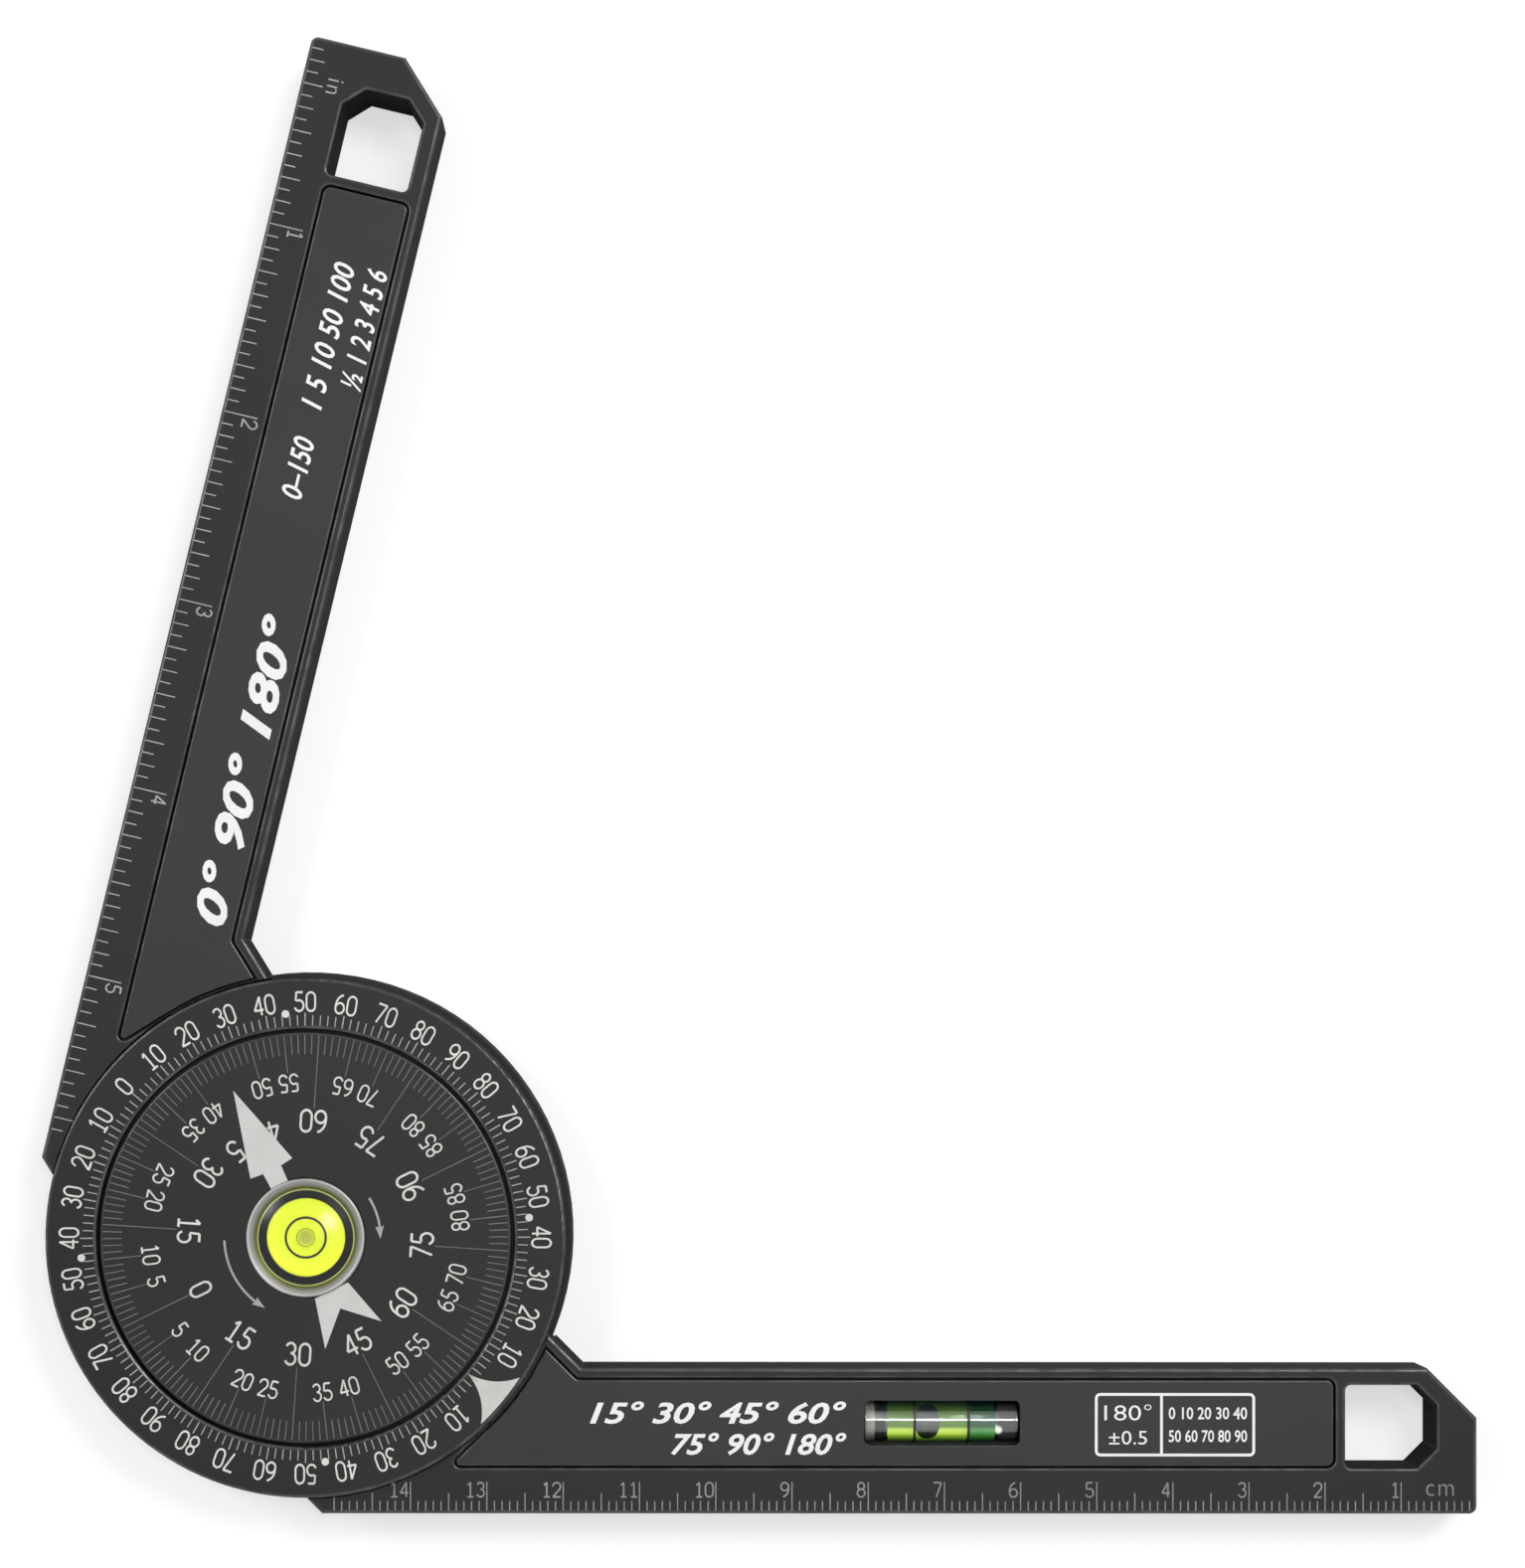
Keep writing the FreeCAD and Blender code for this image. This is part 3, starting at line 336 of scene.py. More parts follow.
# The rules along the outer edges: centimetres on the lower arm, inches on the swing arm.
# Both are pad-printed in grey ink, a film a few hundredths of a millimetre thick, with their noughts
# at the tips, as the photograph shows. The ink's root lies a little inside the plastic.
ARM_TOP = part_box("base_arm")[1].z
RULE_EDGE = -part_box("base_arm")[0].y
RULE_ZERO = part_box("base_arm")[1].x
OPENING = math.radians(76.6)
FILM = 0.03 * MM
FILM_ROOT = 0.02 * MM
FILM_RIM = (0.012 * MM, 0.004 * MM)
WELD = 0.002 * MM
FINE_WELD = 0.001 * MM
UP = (0, 0, 1)


def print_ink(name, colour, thin, rough=0.5):
    """Printed ink: a little thinner here and there, and slightly rough."""
    material, _, shader, place = new_material(name)
    film = place_group(mould_grain, place, Grains=9000.0, Clouds=260.0)
    tone = mix_colours(film.outputs["Cloud"], thin, colour)
    film_finish(shader, film, tone, (rough + 0.15, rough), 0.05, FINE_REACH)
    feed(shader, {"Specular IOR Level": 0.3})
    return material


def settle(piece):
    """Puts a finished piece's place, turn and size into its mesh."""
    bpy.ops.object.select_all(action="DESELECT")
    piece.select_set(True)
    bpy.context.view_layer.objects.active = piece
    bpy.ops.object.transform_apply(location=True, rotation=True, scale=True)
    return piece


def joined(name, parts):
    """Joins modelled parts into one piece with its place in its mesh."""
    for part in parts:
        settle(part)
    bpy.ops.object.select_all(action="DESELECT")
    for part in parts:
        part.select_set(True)
    bpy.context.view_layer.objects.active = parts[0]
    if len(parts) > 1:
        bpy.ops.object.join()
    piece = bpy.context.object
    piece.name = name
    piece.data.name = name
    return settle(piece)


def dress(piece, material, body):
    """Gives a finished piece its material and the body that it rides on."""
    piece.data.materials.clear()
    piece.data.materials.append(material)
    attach(piece, body)
    return piece


def opened(piece):
    """Turns a piece that was modelled at the base arm's angle to the swing arm's angle."""
    piece.rotation_euler = (0, 0, OPENING)
    return settle(piece)


def edit_whole():
    """Opens the active mesh for editing with all of it selected."""
    bpy.ops.object.mode_set(mode="EDIT")
    bpy.ops.mesh.select_all(action="SELECT")


def edit_faces(piece, wanted):
    """Opens the active mesh for editing with only the wanted faces selected."""
    bpy.ops.object.mode_set(mode="EDIT")
    bpy.ops.mesh.select_mode(type="FACE")
    bpy.ops.mesh.select_all(action="DESELECT")
    bpy.ops.object.mode_set(mode="OBJECT")
    for face in piece.data.polygons:
        face.select = wanted(face)
    bpy.ops.object.mode_set(mode="EDIT")


def close_mesh(weld=None):
    """Welds the edited mesh, turns its faces outwards and leaves edit mode."""
    bpy.ops.mesh.select_all(action="SELECT")
    if weld:
        bpy.ops.mesh.remove_doubles(threshold=weld)
    bpy.ops.mesh.normals_make_consistent(inside=False)
    bpy.ops.object.mode_set(mode="OBJECT")


def printed_line(across, along, middle, top):
    """A flat bar of ink, its rim bevelled, lengthwise on Y."""
    thick = FILM + FILM_ROOT
    bpy.ops.object.select_all(action="DESELECT")
    bpy.ops.mesh.primitive_cube_add(
        size=1, location=(middle[0], middle[1], top + FILM - thick / 2), scale=(across, along, thick)
    )
    line = bpy.context.object
    bpy.ops.object.transform_apply(location=True, rotation=True, scale=True)
    edit_faces(line, lambda face: face.normal.z > 0.5)
    bpy.ops.mesh.inset(thickness=FILM_RIM[0], depth=FILM_RIM[1])
    bpy.ops.object.mode_set(mode="OBJECT")
    return line


def printed_rule(step, count, length, x_start, edge):
    """A row of like ticks from the ruler edge inwards, set along X by an array."""
    line = printed_line(RULE_LINE, length, (x_start, edge[0] + edge[1] * length / 2), ARM_TOP)
    if count > 1:
        row = line.modifiers.new("row", "ARRAY")
        row.use_relative_offset = False
        row.use_constant_offset = True
        row.constant_offset_displace = (step, 0, 0)
        row.count = count
        bpy.ops.object.modifier_apply(modifier=row.name)
    return line


def printed_words(words, height, slim=1.0, weight=0.0, slant=0.0, spacing=1.0):
    """Print from the plain typeface, its middle at the origin and its letters upright along X."""
    bpy.ops.object.select_all(action="DESELECT")
    bpy.ops.object.text_add()
    text = bpy.context.object.data
    text.body = words
    text.size = 1.0
    text.resolution_u = 3
    text.offset = weight
    text.shear = slant
    text.space_character = spacing
    text.extrude = 0.5
    bpy.ops.object.convert(target="MESH")
    words_piece = bpy.context.object
    points = [v.co for v in words_piece.data.vertices]
    low = Vector(tuple(min(p[i] for p in points) for i in range(3)))
    high = Vector(tuple(max(p[i] for p in points) for i in range(3)))
    scale = height / (high.y - low.y)
    flatten = Matrix.Diagonal((scale * slim, scale, FILM + FILM_ROOT, 1))
    words_piece.data.transform(flatten @ Matrix.Translation(-(low + high) / 2))
    edit_whole()
    close_mesh(WELD)
    return words_piece


def stamped(model, x, y, top, turn=0.0):
    """A copy of a modelled print, with its own mesh, laid on a face at a height."""
    copy = model.copy()
    copy.data = model.data.copy()
    bpy.context.scene.collection.objects.link(copy)
    copy.location = (x, y, top + (FILM - FILM_ROOT) / 2)
    copy.rotation_euler = (0, 0, turn)
    return copy


# Each digit is drawn with a pen of even width: strokes of (start, heading, moves), where a move is a
# straight run of a length or an arc (radius, turn to the left in degrees). A digit is 1 high.
DIGIT_STROKES = {
    "0": [((0, 0.5), -90, [0.22, (0.28, 180), 0.44, (0.28, 180), 0.22])],
    "1": [((0.10, 0.80), 45, [0.283]), ((0.30, 1.0), -90, [1.0]), ((0.08, 0), 0, [0.44])],
    "2": [((0, 0.72), 90, [(0.28, -222), 0.717]), ((0, 0), 0, [0.56])],
    "3": [((0.054, 0.842), 70, [(0.24, -250)]), ((0.28, 0.54), 0, [(0.27, -250)])],
    "4": [((0.42, 0), 90, [1.0]), ((0.42, 1.0), -120.3, [0.834]), ((0, 0.28), 0, [0.58])],
    "5": [((0.50, 1.0), 180, [0.42]), ((0.08, 1.0), -94, [0.46]), ((0.104, 0.528), 35, [(0.29, -285)])],
    "6": [((0, 0.28), -90, [(0.28, 360)]), ((0, 0.28), 90, [0.18, (0.55, -75)])],
    "7": [((0, 1.0), 0, [0.56]), ((0.56, 1.0), -110.8, [1.07])],
    "8": [((0.28, 0.53), 0, [(0.235, 360)]), ((0.28, 0), 0, [(0.275, 360)])],
    "9": [((0.56, 0.72), 90, [(0.28, 360)]), ((0.56, 0.72), -90, [0.18, (0.55, -75)])],
}
DIGIT_WIDTH = 0.56
DIGIT_GAP = 0.19
PEN = 0.115
PEN_ARC_STEP = 20
STROKE_STEP = 0.003 * MM


def pen_stroke(start, heading, moves, size):
    """One stroke of a digit: a pen's nib is extruded along straight runs and spun round arcs."""
    a = math.radians(heading)
    x, y = start[0] * size, start[1] * size
    bpy.ops.object.select_all(action="DESELECT")
    bpy.ops.mesh.primitive_plane_add(size=1, location=(x, y, 0), rotation=(math.pi / 2, 0, a + math.pi / 2))
    stroke = bpy.context.object
    stroke.scale = (PEN * size, FILM + FILM_ROOT, 1)
    bpy.ops.object.transform_apply(location=True, rotation=True, scale=True)
    bpy.ops.object.mode_set(mode="EDIT")
    bpy.ops.mesh.select_mode(type="FACE")
    bpy.ops.mesh.select_all(action="SELECT")
    for move in moves:
        if isinstance(move, tuple):
            radius, turn = move[0] * size, math.radians(move[1])
            side = math.copysign(1, turn)
            middle = (x - side * radius * math.sin(a), y + side * radius * math.cos(a))
            steps = max(3, round(abs(move[1]) / PEN_ARC_STEP))
            bpy.ops.mesh.spin(steps=steps, angle=-turn, center=(*middle, 0), axis=UP)
            a += turn
            x, y = middle[0] + side * radius * math.sin(a), middle[1] - side * radius * math.cos(a)
        else:
            dx, dy = move * size * math.cos(a), move * size * math.sin(a)
            bpy.ops.mesh.extrude_region_move(TRANSFORM_OT_translate={"value": (dx, dy, 0)})
            x, y = x + dx, y + dy
    close_mesh(WELD)
    return stroke


def drawn_number(text, height, slim):
    """A number drawn with the pen, its middle at the origin. Each stroke lies a hair above the last."""
    size = height / (1 + PEN)
    strokes = []
    for place, digit in enumerate(text):
        for start, heading, moves in DIGIT_STROKES[digit]:
            start_x = start[0] + place * (DIGIT_WIDTH + DIGIT_GAP)
            stroke = pen_stroke((start_x, start[1]), heading, moves, size)
            stroke.location.z = len(strokes) * STROKE_STEP
            strokes.append(stroke)
    number = joined("number_" + text, strokes)
    wide = (len(text) * (DIGIT_WIDTH + DIGIT_GAP) - DIGIT_GAP) * size
    number.data.transform(Matrix.Diagonal((slim, 1, 1, 1)) @ Matrix.Translation((-wide / 2, -size / 2, 0)))
    return number


def number_models(texts, height, slim):
    """One model of each number that a scale repeats."""
    return {text: drawn_number(text, height, slim) for text in texts}


def clear_models(models):
    """Takes away the models once their copies are stamped."""
    for model in models.values():
        bpy.data.objects.remove(model)


grey_ink = print_ink("ink_grey_rule", (0.30, 0.30, 0.30), (0.19, 0.19, 0.19))
pale_ink = print_ink("ink_pale_rule", (0.42, 0.42, 0.42), (0.28, 0.28, 0.28))
RULE_LINE = 0.15 * MM
RULE_MARGIN = 0.42 * MM
NUMBER_ASIDE = 0.35 * MM
CM_STEP = 10 * MM
CM_LONG = 3.75 * MM
CM_HALF = 2.3 * MM
CM_FINE = 1.25 * MM
CM_EDGE = (-RULE_EDGE + RULE_MARGIN, 1)
CM_ROW = -RULE_EDGE + 3.15 * MM
centimetre_ticks = joined("centimetre_ticks", [
    printed_rule(-CM_STEP, 15, CM_LONG, RULE_ZERO - CM_STEP, CM_EDGE),
    printed_rule(-CM_STEP, 14, CM_HALF, RULE_ZERO - CM_STEP * 3 / 2, CM_EDGE),
    printed_rule(-CM_STEP, 1, CM_FINE, RULE_ZERO - CM_STEP / 2, CM_EDGE),
    *[printed_rule(-CM_STEP, 15, CM_FINE, RULE_ZERO - k * MM, CM_EDGE) for k in (1, 2, 3, 4, 6, 7, 8, 9)],
])
dress(centimetre_ticks, grey_ink, "base")


def rule_numbers(name, texts, height, step, row, unit, unit_height, unit_place, turn):
    """A rule's numbers, each beside its tick, and its unit at the nought."""
    models = number_models(texts, height, 0.95)
    models[unit] = printed_words(unit, unit_height, 0.9, -0.012, spacing=1.15)
    numbers = []
    for k, text in enumerate(texts, 1):
        wide = models[text].dimensions.x
        x = RULE_ZERO - step * k - NUMBER_ASIDE - wide / 2
        numbers.append(stamped(models[text], x, row, ARM_TOP, turn))
    numbers.append(stamped(models[unit], *unit_place, ARM_TOP, turn))
    numbers = joined(name, numbers)
    clear_models(models)
    return numbers


centimetres = [str(k) for k in range(1, 15)]
centimetre_numbers = rule_numbers(
    "centimetre_numbers", centimetres, 2.1 * MM, CM_STEP, CM_ROW, "cm", 1.55 * MM,
    (RULE_ZERO - 4.9 * MM, CM_ROW), 0.0,
)
dress(centimetre_numbers, grey_ink, "base")

INCH = 25.4 * MM
INCH_LONG = 4.4 * MM
INCH_EDGE = (RULE_EDGE - RULE_MARGIN, -1)
inch_parts = [printed_rule(-INCH, 5, INCH_LONG, RULE_ZERO - INCH, INCH_EDGE)]
for sixteenth in range(1, 16):
    length = 2.5 * MM if sixteenth % 4 == 0 else 2.0 * MM if sixteenth % 2 == 0 else 1.5 * MM
    count = 6 if sixteenth < 14 else 5
    inch_parts.append(printed_rule(-INCH, count, length, RULE_ZERO - INCH * sixteenth / 16, INCH_EDGE))
dress(opened(joined("inch_ticks", inch_parts)), pale_ink, "swing")
inch_numbers = rule_numbers(
    "inch_numbers", ["1", "2", "3", "4", "5"], 2.2 * MM, INCH, RULE_EDGE - 4.0 * MM, "in", 2.0 * MM,
    (RULE_ZERO - 6.0 * MM, RULE_EDGE - 4.45 * MM), math.pi,
)
dress(opened(inch_numbers), pale_ink, "swing")

# The print on the outer ring: a tick every two degrees, numbers every ten, four dots and the marker.
# It is white ink stamped on the flat of the ring. The numbers run from nought to ninety and back on
# each side, their tops outwards, and the marker stands where the second nought would be.
RING_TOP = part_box("scale_ring")[1].z
RING_ZERO = 140.2
RING_NUMBERS = 30.85 * MM
TICK_START = 27.75 * MM
DOT_RADIUS = 0.5 * MM
DOT_CIRCLE = 29.35 * MM
ring_ink = print_ink("ink_white_ring", (0.72, 0.72, 0.69), (0.58, 0.58, 0.56))
tick_ink = print_ink("ink_dim_ticks", (0.40, 0.40, 0.39), (0.27, 0.27, 0.26))


def spun_ticks(across, inner, outer, top, start_angle, count):
    """Like ticks all round the hub: one is modelled along the radius and spun in equal steps."""
    line = printed_line(across, outer - inner, (0, (inner + outer) / 2), top)
    line.rotation_euler = (0, 0, math.radians(start_angle - 90))
    settle(line)
    edit_whole()
    bpy.ops.mesh.spin(
        steps=count, dupli=True, angle=math.tau, use_normal_flip=False, center=(0, 0, 0), axis=UP
    )
    close_mesh(FINE_WELD)
    return line


def on_circle(radius, angle):
    """A point round the hub, its angle in degrees."""
    return (radius * math.cos(math.radians(angle)), radius * math.sin(math.radians(angle)))


def round_the_hub(model, radius, angle, top, tops_out):
    """Stamps a number at an angle round the hub, its top outwards or towards the middle."""
    turn = math.radians(angle - 90 if tops_out else angle + 90)
    return stamped(model, *on_circle(radius, angle), top, turn)


def flat_print(outline, top):
    """A filled shape of ink: a disc's rim is moved to the outline's points and raised."""
    bpy.ops.object.select_all(action="DESELECT")
    bpy.ops.mesh.primitive_circle_add(
        vertices=len(outline), radius=MM, fill_type="NGON", location=(0, 0, 0)
    )
    shape = bpy.context.object
    for vertex, point in zip(shape.data.vertices, outline):
        vertex.co = (point[0], point[1], top - FILM_ROOT)
    edit_whole()
    bpy.ops.mesh.extrude_region_move(TRANSFORM_OT_translate={"value": (0, 0, FILM + FILM_ROOT)})
    close_mesh()
    return shape


def arc_points(centre, radius, start, end, count):
    """Points of an arc, with its angles in degrees."""
    points = []
    for i in range(count + 1):
        a = math.radians(start + (end - start) * i / count)
        points.append((centre[0] + radius * math.cos(a), centre[1] + radius * math.sin(a)))
    return points


def scooped(start, end, sag, count):
    """Points from start to end on a line that bows to its left by sag."""
    along = Vector(end) - Vector(start)
    side = Vector((-along.y, along.x)).normalized()
    points = []
    for i in range(count + 1):
        t = i / count
        p = Vector(start) + along * t + side * (sag * 4 * t * (1 - t))
        points.append((p.x, p.y))
    return points


dress(joined("ring_ticks", [
    spun_ticks(0.14 * MM, TICK_START, 29.1 * MM, RING_TOP, RING_ZERO, 180),
    spun_ticks(0.16 * MM, TICK_START, 29.4 * MM, RING_TOP + STROKE_STEP, RING_ZERO, 36),
]), tick_ink, "base")

ring_models = number_models([str(k) for k in range(0, 100, 10)], 2.75 * MM, 0.82)
ring_numbers = []
for step in range(36):
    value = str(10 * min(step % 18, 18 - step % 18))
    if step != 18:
        angle = RING_ZERO - 10 * step
        ring_numbers.append(round_the_hub(ring_models[value], RING_NUMBERS, angle, RING_TOP, True))
dress(joined("ring_numbers", ring_numbers), ring_ink, "base")
clear_models(ring_models)

ring_dots = flat_print(arc_points((0, DOT_CIRCLE), DOT_RADIUS, 0, 360, 24)[:-1], RING_TOP)
ring_dots.rotation_euler = (0, 0, math.radians(RING_ZERO - 45 - 90))
settle(ring_dots)
edit_whole()
bpy.ops.mesh.spin(steps=3, dupli=True, angle=math.radians(270), center=(0, 0, 0), axis=UP)
bpy.ops.object.mode_set(mode="OBJECT")
dress(joined("ring_dots", [ring_dots]), ring_ink, "base")

MARKER = RING_ZERO - 180
MARKER_HALF = 6.8
MARKER_SAG = 0.75 * MM
marker_tip = on_circle(TICK_START, MARKER)
marker_rim = arc_points((0, 0), 33.45 * MM, MARKER - MARKER_HALF, MARKER + MARKER_HALF, 12)
marker_outline = scooped(marker_tip, marker_rim[0], MARKER_SAG, 10)[:-1] + marker_rim
marker_outline += scooped(marker_rim[-1], marker_tip, MARKER_SAG, 10)[1:-1]
marker_ink = print_ink("ink_marker", (0.60, 0.60, 0.575), (0.52, 0.52, 0.50))
dress(joined("ring_marker", [flat_print(marker_outline, RING_TOP)]), marker_ink, "base")

# The print on the dial: a tick for each two degrees, long lines between and two rows of numbers.
# It is white ink on the matt dial. One unit of its scale is two degrees of turn, and the numbers stand
# with their tops towards the middle. The arrow parts the two digits of its own number.
DIAL_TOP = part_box("dial")[1].z
DIAL_FORTY_FIVE = 116.3
DIAL_TICKS = 24.0 * MM
DIAL_TICK_ENDS = 26.5 * MM
LARGE_NUMBERS = 15.25 * MM
SMALL_NUMBERS = 20.3 * MM
PARTED_DIGITS = 14.5 * MM
dial_ink = print_ink("ink_white_dial", (0.70, 0.70, 0.67), (0.55, 0.55, 0.53))
faint_ink = print_ink("ink_faint_lines", (0.17, 0.17, 0.165), (0.10, 0.10, 0.098))
dial_ticks = [spun_ticks(0.13 * MM, DIAL_TICKS, DIAL_TICK_ENDS, DIAL_TOP, DIAL_FORTY_FIVE, 180)]
for step in range(1, 36):
    inner = 16.9 * MM if step % 3 == 0 else 21.6 * MM
    ray = printed_line(0.12 * MM, DIAL_TICKS - inner, (0, (inner + DIAL_TICKS) / 2), DIAL_TOP)
    ray.rotation_euler = (0, 0, math.radians(DIAL_FORTY_FIVE - 10 * step - 90))
    dial_ticks.append(ray)
dress(joined("dial_ticks", dial_ticks), faint_ink, "swing")

large_models = number_models(["0", "15", "30", "45", "60", "75", "90", "4", "5"], 3.15 * MM, 0.88)
small_models = number_models([str(k) for k in range(5, 90, 5)], 2.45 * MM, 0.85)
large_numbers = [
    round_the_hub(large_models["4"], PARTED_DIGITS, DIAL_FORTY_FIVE - 9.7, DIAL_TOP, False),
    round_the_hub(large_models["5"], PARTED_DIGITS, DIAL_FORTY_FIVE + 12.8, DIAL_TOP, False),
]
small_numbers = []
for step in range(1, 36):
    angle = DIAL_FORTY_FIVE - 10 * step
    value = 45 + 5 * step
    text = str(value if value <= 90 else abs(180 - value))
    if step % 3 == 0:
        large_numbers.append(round_the_hub(large_models[text], LARGE_NUMBERS, angle, DIAL_TOP, False))
    else:
        small_numbers.append(round_the_hub(small_models[text], SMALL_NUMBERS, angle, DIAL_TOP, False))
dress(joined("dial_large_numbers", large_numbers), dial_ink, "swing")
dress(joined("dial_small_numbers", small_numbers), dial_ink, "swing")
clear_models(large_models)
clear_models(small_models)

# The pointer printed across the dial, in light grey ink, and two thin turn arcs beside the level.
# The pointer's head points to the reading, its shaft goes under the round level's rim, and its swallow
# tail comes out on the other side. Its film lies on top of the numbers' films.
ARROW_HEAD = [(21.4, 0), (10.1, 3.05), (9.9, 1.3), (7.6, 1.2), (7.6, -1.2), (9.9, -1.3), (10.1, -3.05)]
ARROW_TAIL = [(-7.7, -2.4), (-14.2, -4.1), (-10.3, 0), (-14.2, 4.1), (-7.7, 2.4)]
POINTER_FILM = DIAL_TOP + 8 * STROKE_STEP
ARC_LINE = 0.3 * MM
pointer_ink = print_ink("ink_pointer_grey", (0.60, 0.60, 0.585), (0.54, 0.54, 0.525))
pointer = joined("dial_pointer", [
    flat_print([(x * MM, y * MM) for x, y in outline], POINTER_FILM) for outline in (ARROW_HEAD, ARROW_TAIL)
])
pointer.rotation_euler = (0, 0, math.radians(DIAL_FORTY_FIVE))
dress(settle(pointer), pointer_ink, "swing")


def turn_arrow(radius, start, end):
    """A thin arc with an arrow head at its end, for the sense of turning."""
    sense = 1 if end > start else -1
    outer = arc_points((0, 0), radius + ARC_LINE / 2, start, end, 24)
    inner = arc_points((0, 0), radius - ARC_LINE / 2, end, start, 24)
    tip = on_circle(radius, end + sense * math.degrees(5 * ARC_LINE / radius))
    barbs = [on_circle(radius + side * ARC_LINE * 1.9, end - sense) for side in (1, -1)]
    return flat_print(outer + [barbs[0], tip, barbs[1]] + inner, DIAL_TOP)


arc_ink = print_ink("ink_turn_arcs", (0.40, 0.40, 0.39), (0.30, 0.30, 0.29))
turn_arcs = joined("dial_turn_arcs", [turn_arrow(10.6 * MM, -178, -128), turn_arrow(9.8 * MM, 32, 8)])
dress(turn_arcs, arc_ink, "swing")

# The print on the two panels: rows of plain numbers in slanted bold white ink, and a two-cell frame.
# They are screen-printed on the smooth face, and read from the hub outwards.
PANEL_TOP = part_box("base_panel")[1].z
SMALL_ROW = 2.9 * MM
CELL_ROW = 1.6 * MM
FRAME_LOW = (103.45 * MM, -28.65 * MM)
FRAME_HIGH = (124.5 * MM, -20.35 * MM)
FRAME_LINE = 0.36 * MM
FRAME_ROUND = 0.7 * MM
DIVIDER_X = 112.2 * MM
LEFT_CELL_X = 107.8 * MM
RIGHT_CELL_X = 118.3 * MM
panel_ink = print_ink("ink_white_panel", (0.86, 0.86, 0.86), (0.78, 0.78, 0.78), 0.42)


def panel_line(words, height, length, middle, weight=0.022, slant=0.28):
    """One row of panel print, drawn out to a length."""
    row = printed_words(words, height, 1.0, weight, slant)
    row.data.transform(Matrix.Diagonal((length / row.dimensions.x, 1, 1, 1)))
    row.location = (middle[0], middle[1], PANEL_TOP + (FILM - FILM_ROOT) / 2)
    return settle(row)


dress(joined("base_panel_print", [
    panel_line("15° 30° 45° 60°", 2.95 * MM, 33.6 * MM, (53.97 * MM, -22.95 * MM)),
    panel_line("75° 90° 180°", 2.95 * MM, 23.0 * MM, (59.3 * MM, -27.05 * MM)),
]), panel_ink, "base")
dress(opened(joined("swing_panel_print", [
    panel_line("0° 90° 180°", 4.7 * MM, 41.5 * MM, (57.6 * MM, 22.2 * MM), 0.03),
    panel_line("0–150", SMALL_ROW, 8.2 * MM, (97.9 * MM, 24.7 * MM), 0.014),
    panel_line("1 5 10 50 100", SMALL_ROW, 19.6 * MM, (115.7 * MM, 24.9 * MM), 0.014),
    panel_line("½ 1 2 3 4 5 6", SMALL_ROW, 16.2 * MM, (117.5 * MM, 20.5 * MM), 0.014),
])), panel_ink, "swing")

frame_outline = []
for x_side, y_side, start in ((1, 1, 0), (0, 1, 90), (0, 0, 180), (1, 0, 270)):
    corner_x = FRAME_HIGH[0] - FRAME_ROUND if x_side else FRAME_LOW[0] + FRAME_ROUND
    corner_y = FRAME_HIGH[1] - FRAME_ROUND if y_side else FRAME_LOW[1] + FRAME_ROUND
    frame_outline += arc_points((corner_x, corner_y), FRAME_ROUND, start, start + 90, 5)
frame_bar = flat_print(frame_outline, PANEL_TOP)
edit_faces(frame_bar, lambda face: abs(face.normal.z) > 0.5)
bpy.ops.mesh.inset(thickness=FRAME_LINE, use_boundary=True)
bpy.ops.mesh.bridge_edge_loops()
bpy.ops.object.mode_set(mode="OBJECT")
divider_length = FRAME_HIGH[1] - FRAME_LOW[1] - 2 * FRAME_LINE
divider_middle = (DIVIDER_X, (FRAME_LOW[1] + FRAME_HIGH[1]) / 2)
dress(joined("base_panel_frame", [
    frame_bar,
    printed_line(FRAME_LINE, divider_length, divider_middle, PANEL_TOP),
    panel_line("180°", 2.1 * MM, 6.2 * MM, (LEFT_CELL_X, -22.9 * MM), -0.006, 0.0),
    panel_line("±0.5", 1.8 * MM, 5.0 * MM, (LEFT_CELL_X, -26.2 * MM), -0.004, 0.0),
    panel_line("0 10 20 30 40", CELL_ROW, 10.3 * MM, (RIGHT_CELL_X, -23.0 * MM), 0.012, 0.0),
    panel_line("50 60 70 80 90", CELL_ROW, 10.3 * MM, (RIGHT_CELL_X, -26.0 * MM), 0.012, 0.0),
]), panel_ink, "base")

# The round level's rim and cup, in the middle of the dial.
# The rim is a turned ring of soft bright metal that slopes inwards and is pressed into the dial. It
# holds the level's dark moulded cup.
BEZEL_LOW, BEZEL_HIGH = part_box("bullseye_bezel")
BEZEL_FOOT = BEZEL_LOW.z
BEZEL_OUT = BEZEL_HIGH.x
BEZEL_IN = 6.42 * MM


def lathed(name, outline, steps):
    """A turned piece: its closed outline of (radius, height) points is spun round the hub's axis."""
    bpy.ops.object.select_all(action="DESELECT")
    bpy.ops.mesh.primitive_circle_add(vertices=len(outline), radius=MM, fill_type="NOTHING")
    piece = bpy.context.object
    piece.name = name
    for vertex, point in zip(piece.data.vertices, outline):
        vertex.co = (point[0], 0, point[1])
    edit_whole()
    bpy.ops.mesh.spin(steps=steps, angle=math.tau, center=(0, 0, 0), axis=UP)
    bpy.ops.mesh.select_all(action="SELECT")
    bpy.ops.mesh.remove_doubles(threshold=FINE_WELD)
    bpy.ops.mesh.delete_loose()
    close_mesh()
    bpy.ops.object.shade_smooth_by_angle(angle=math.radians(40))
    return settle(piece)


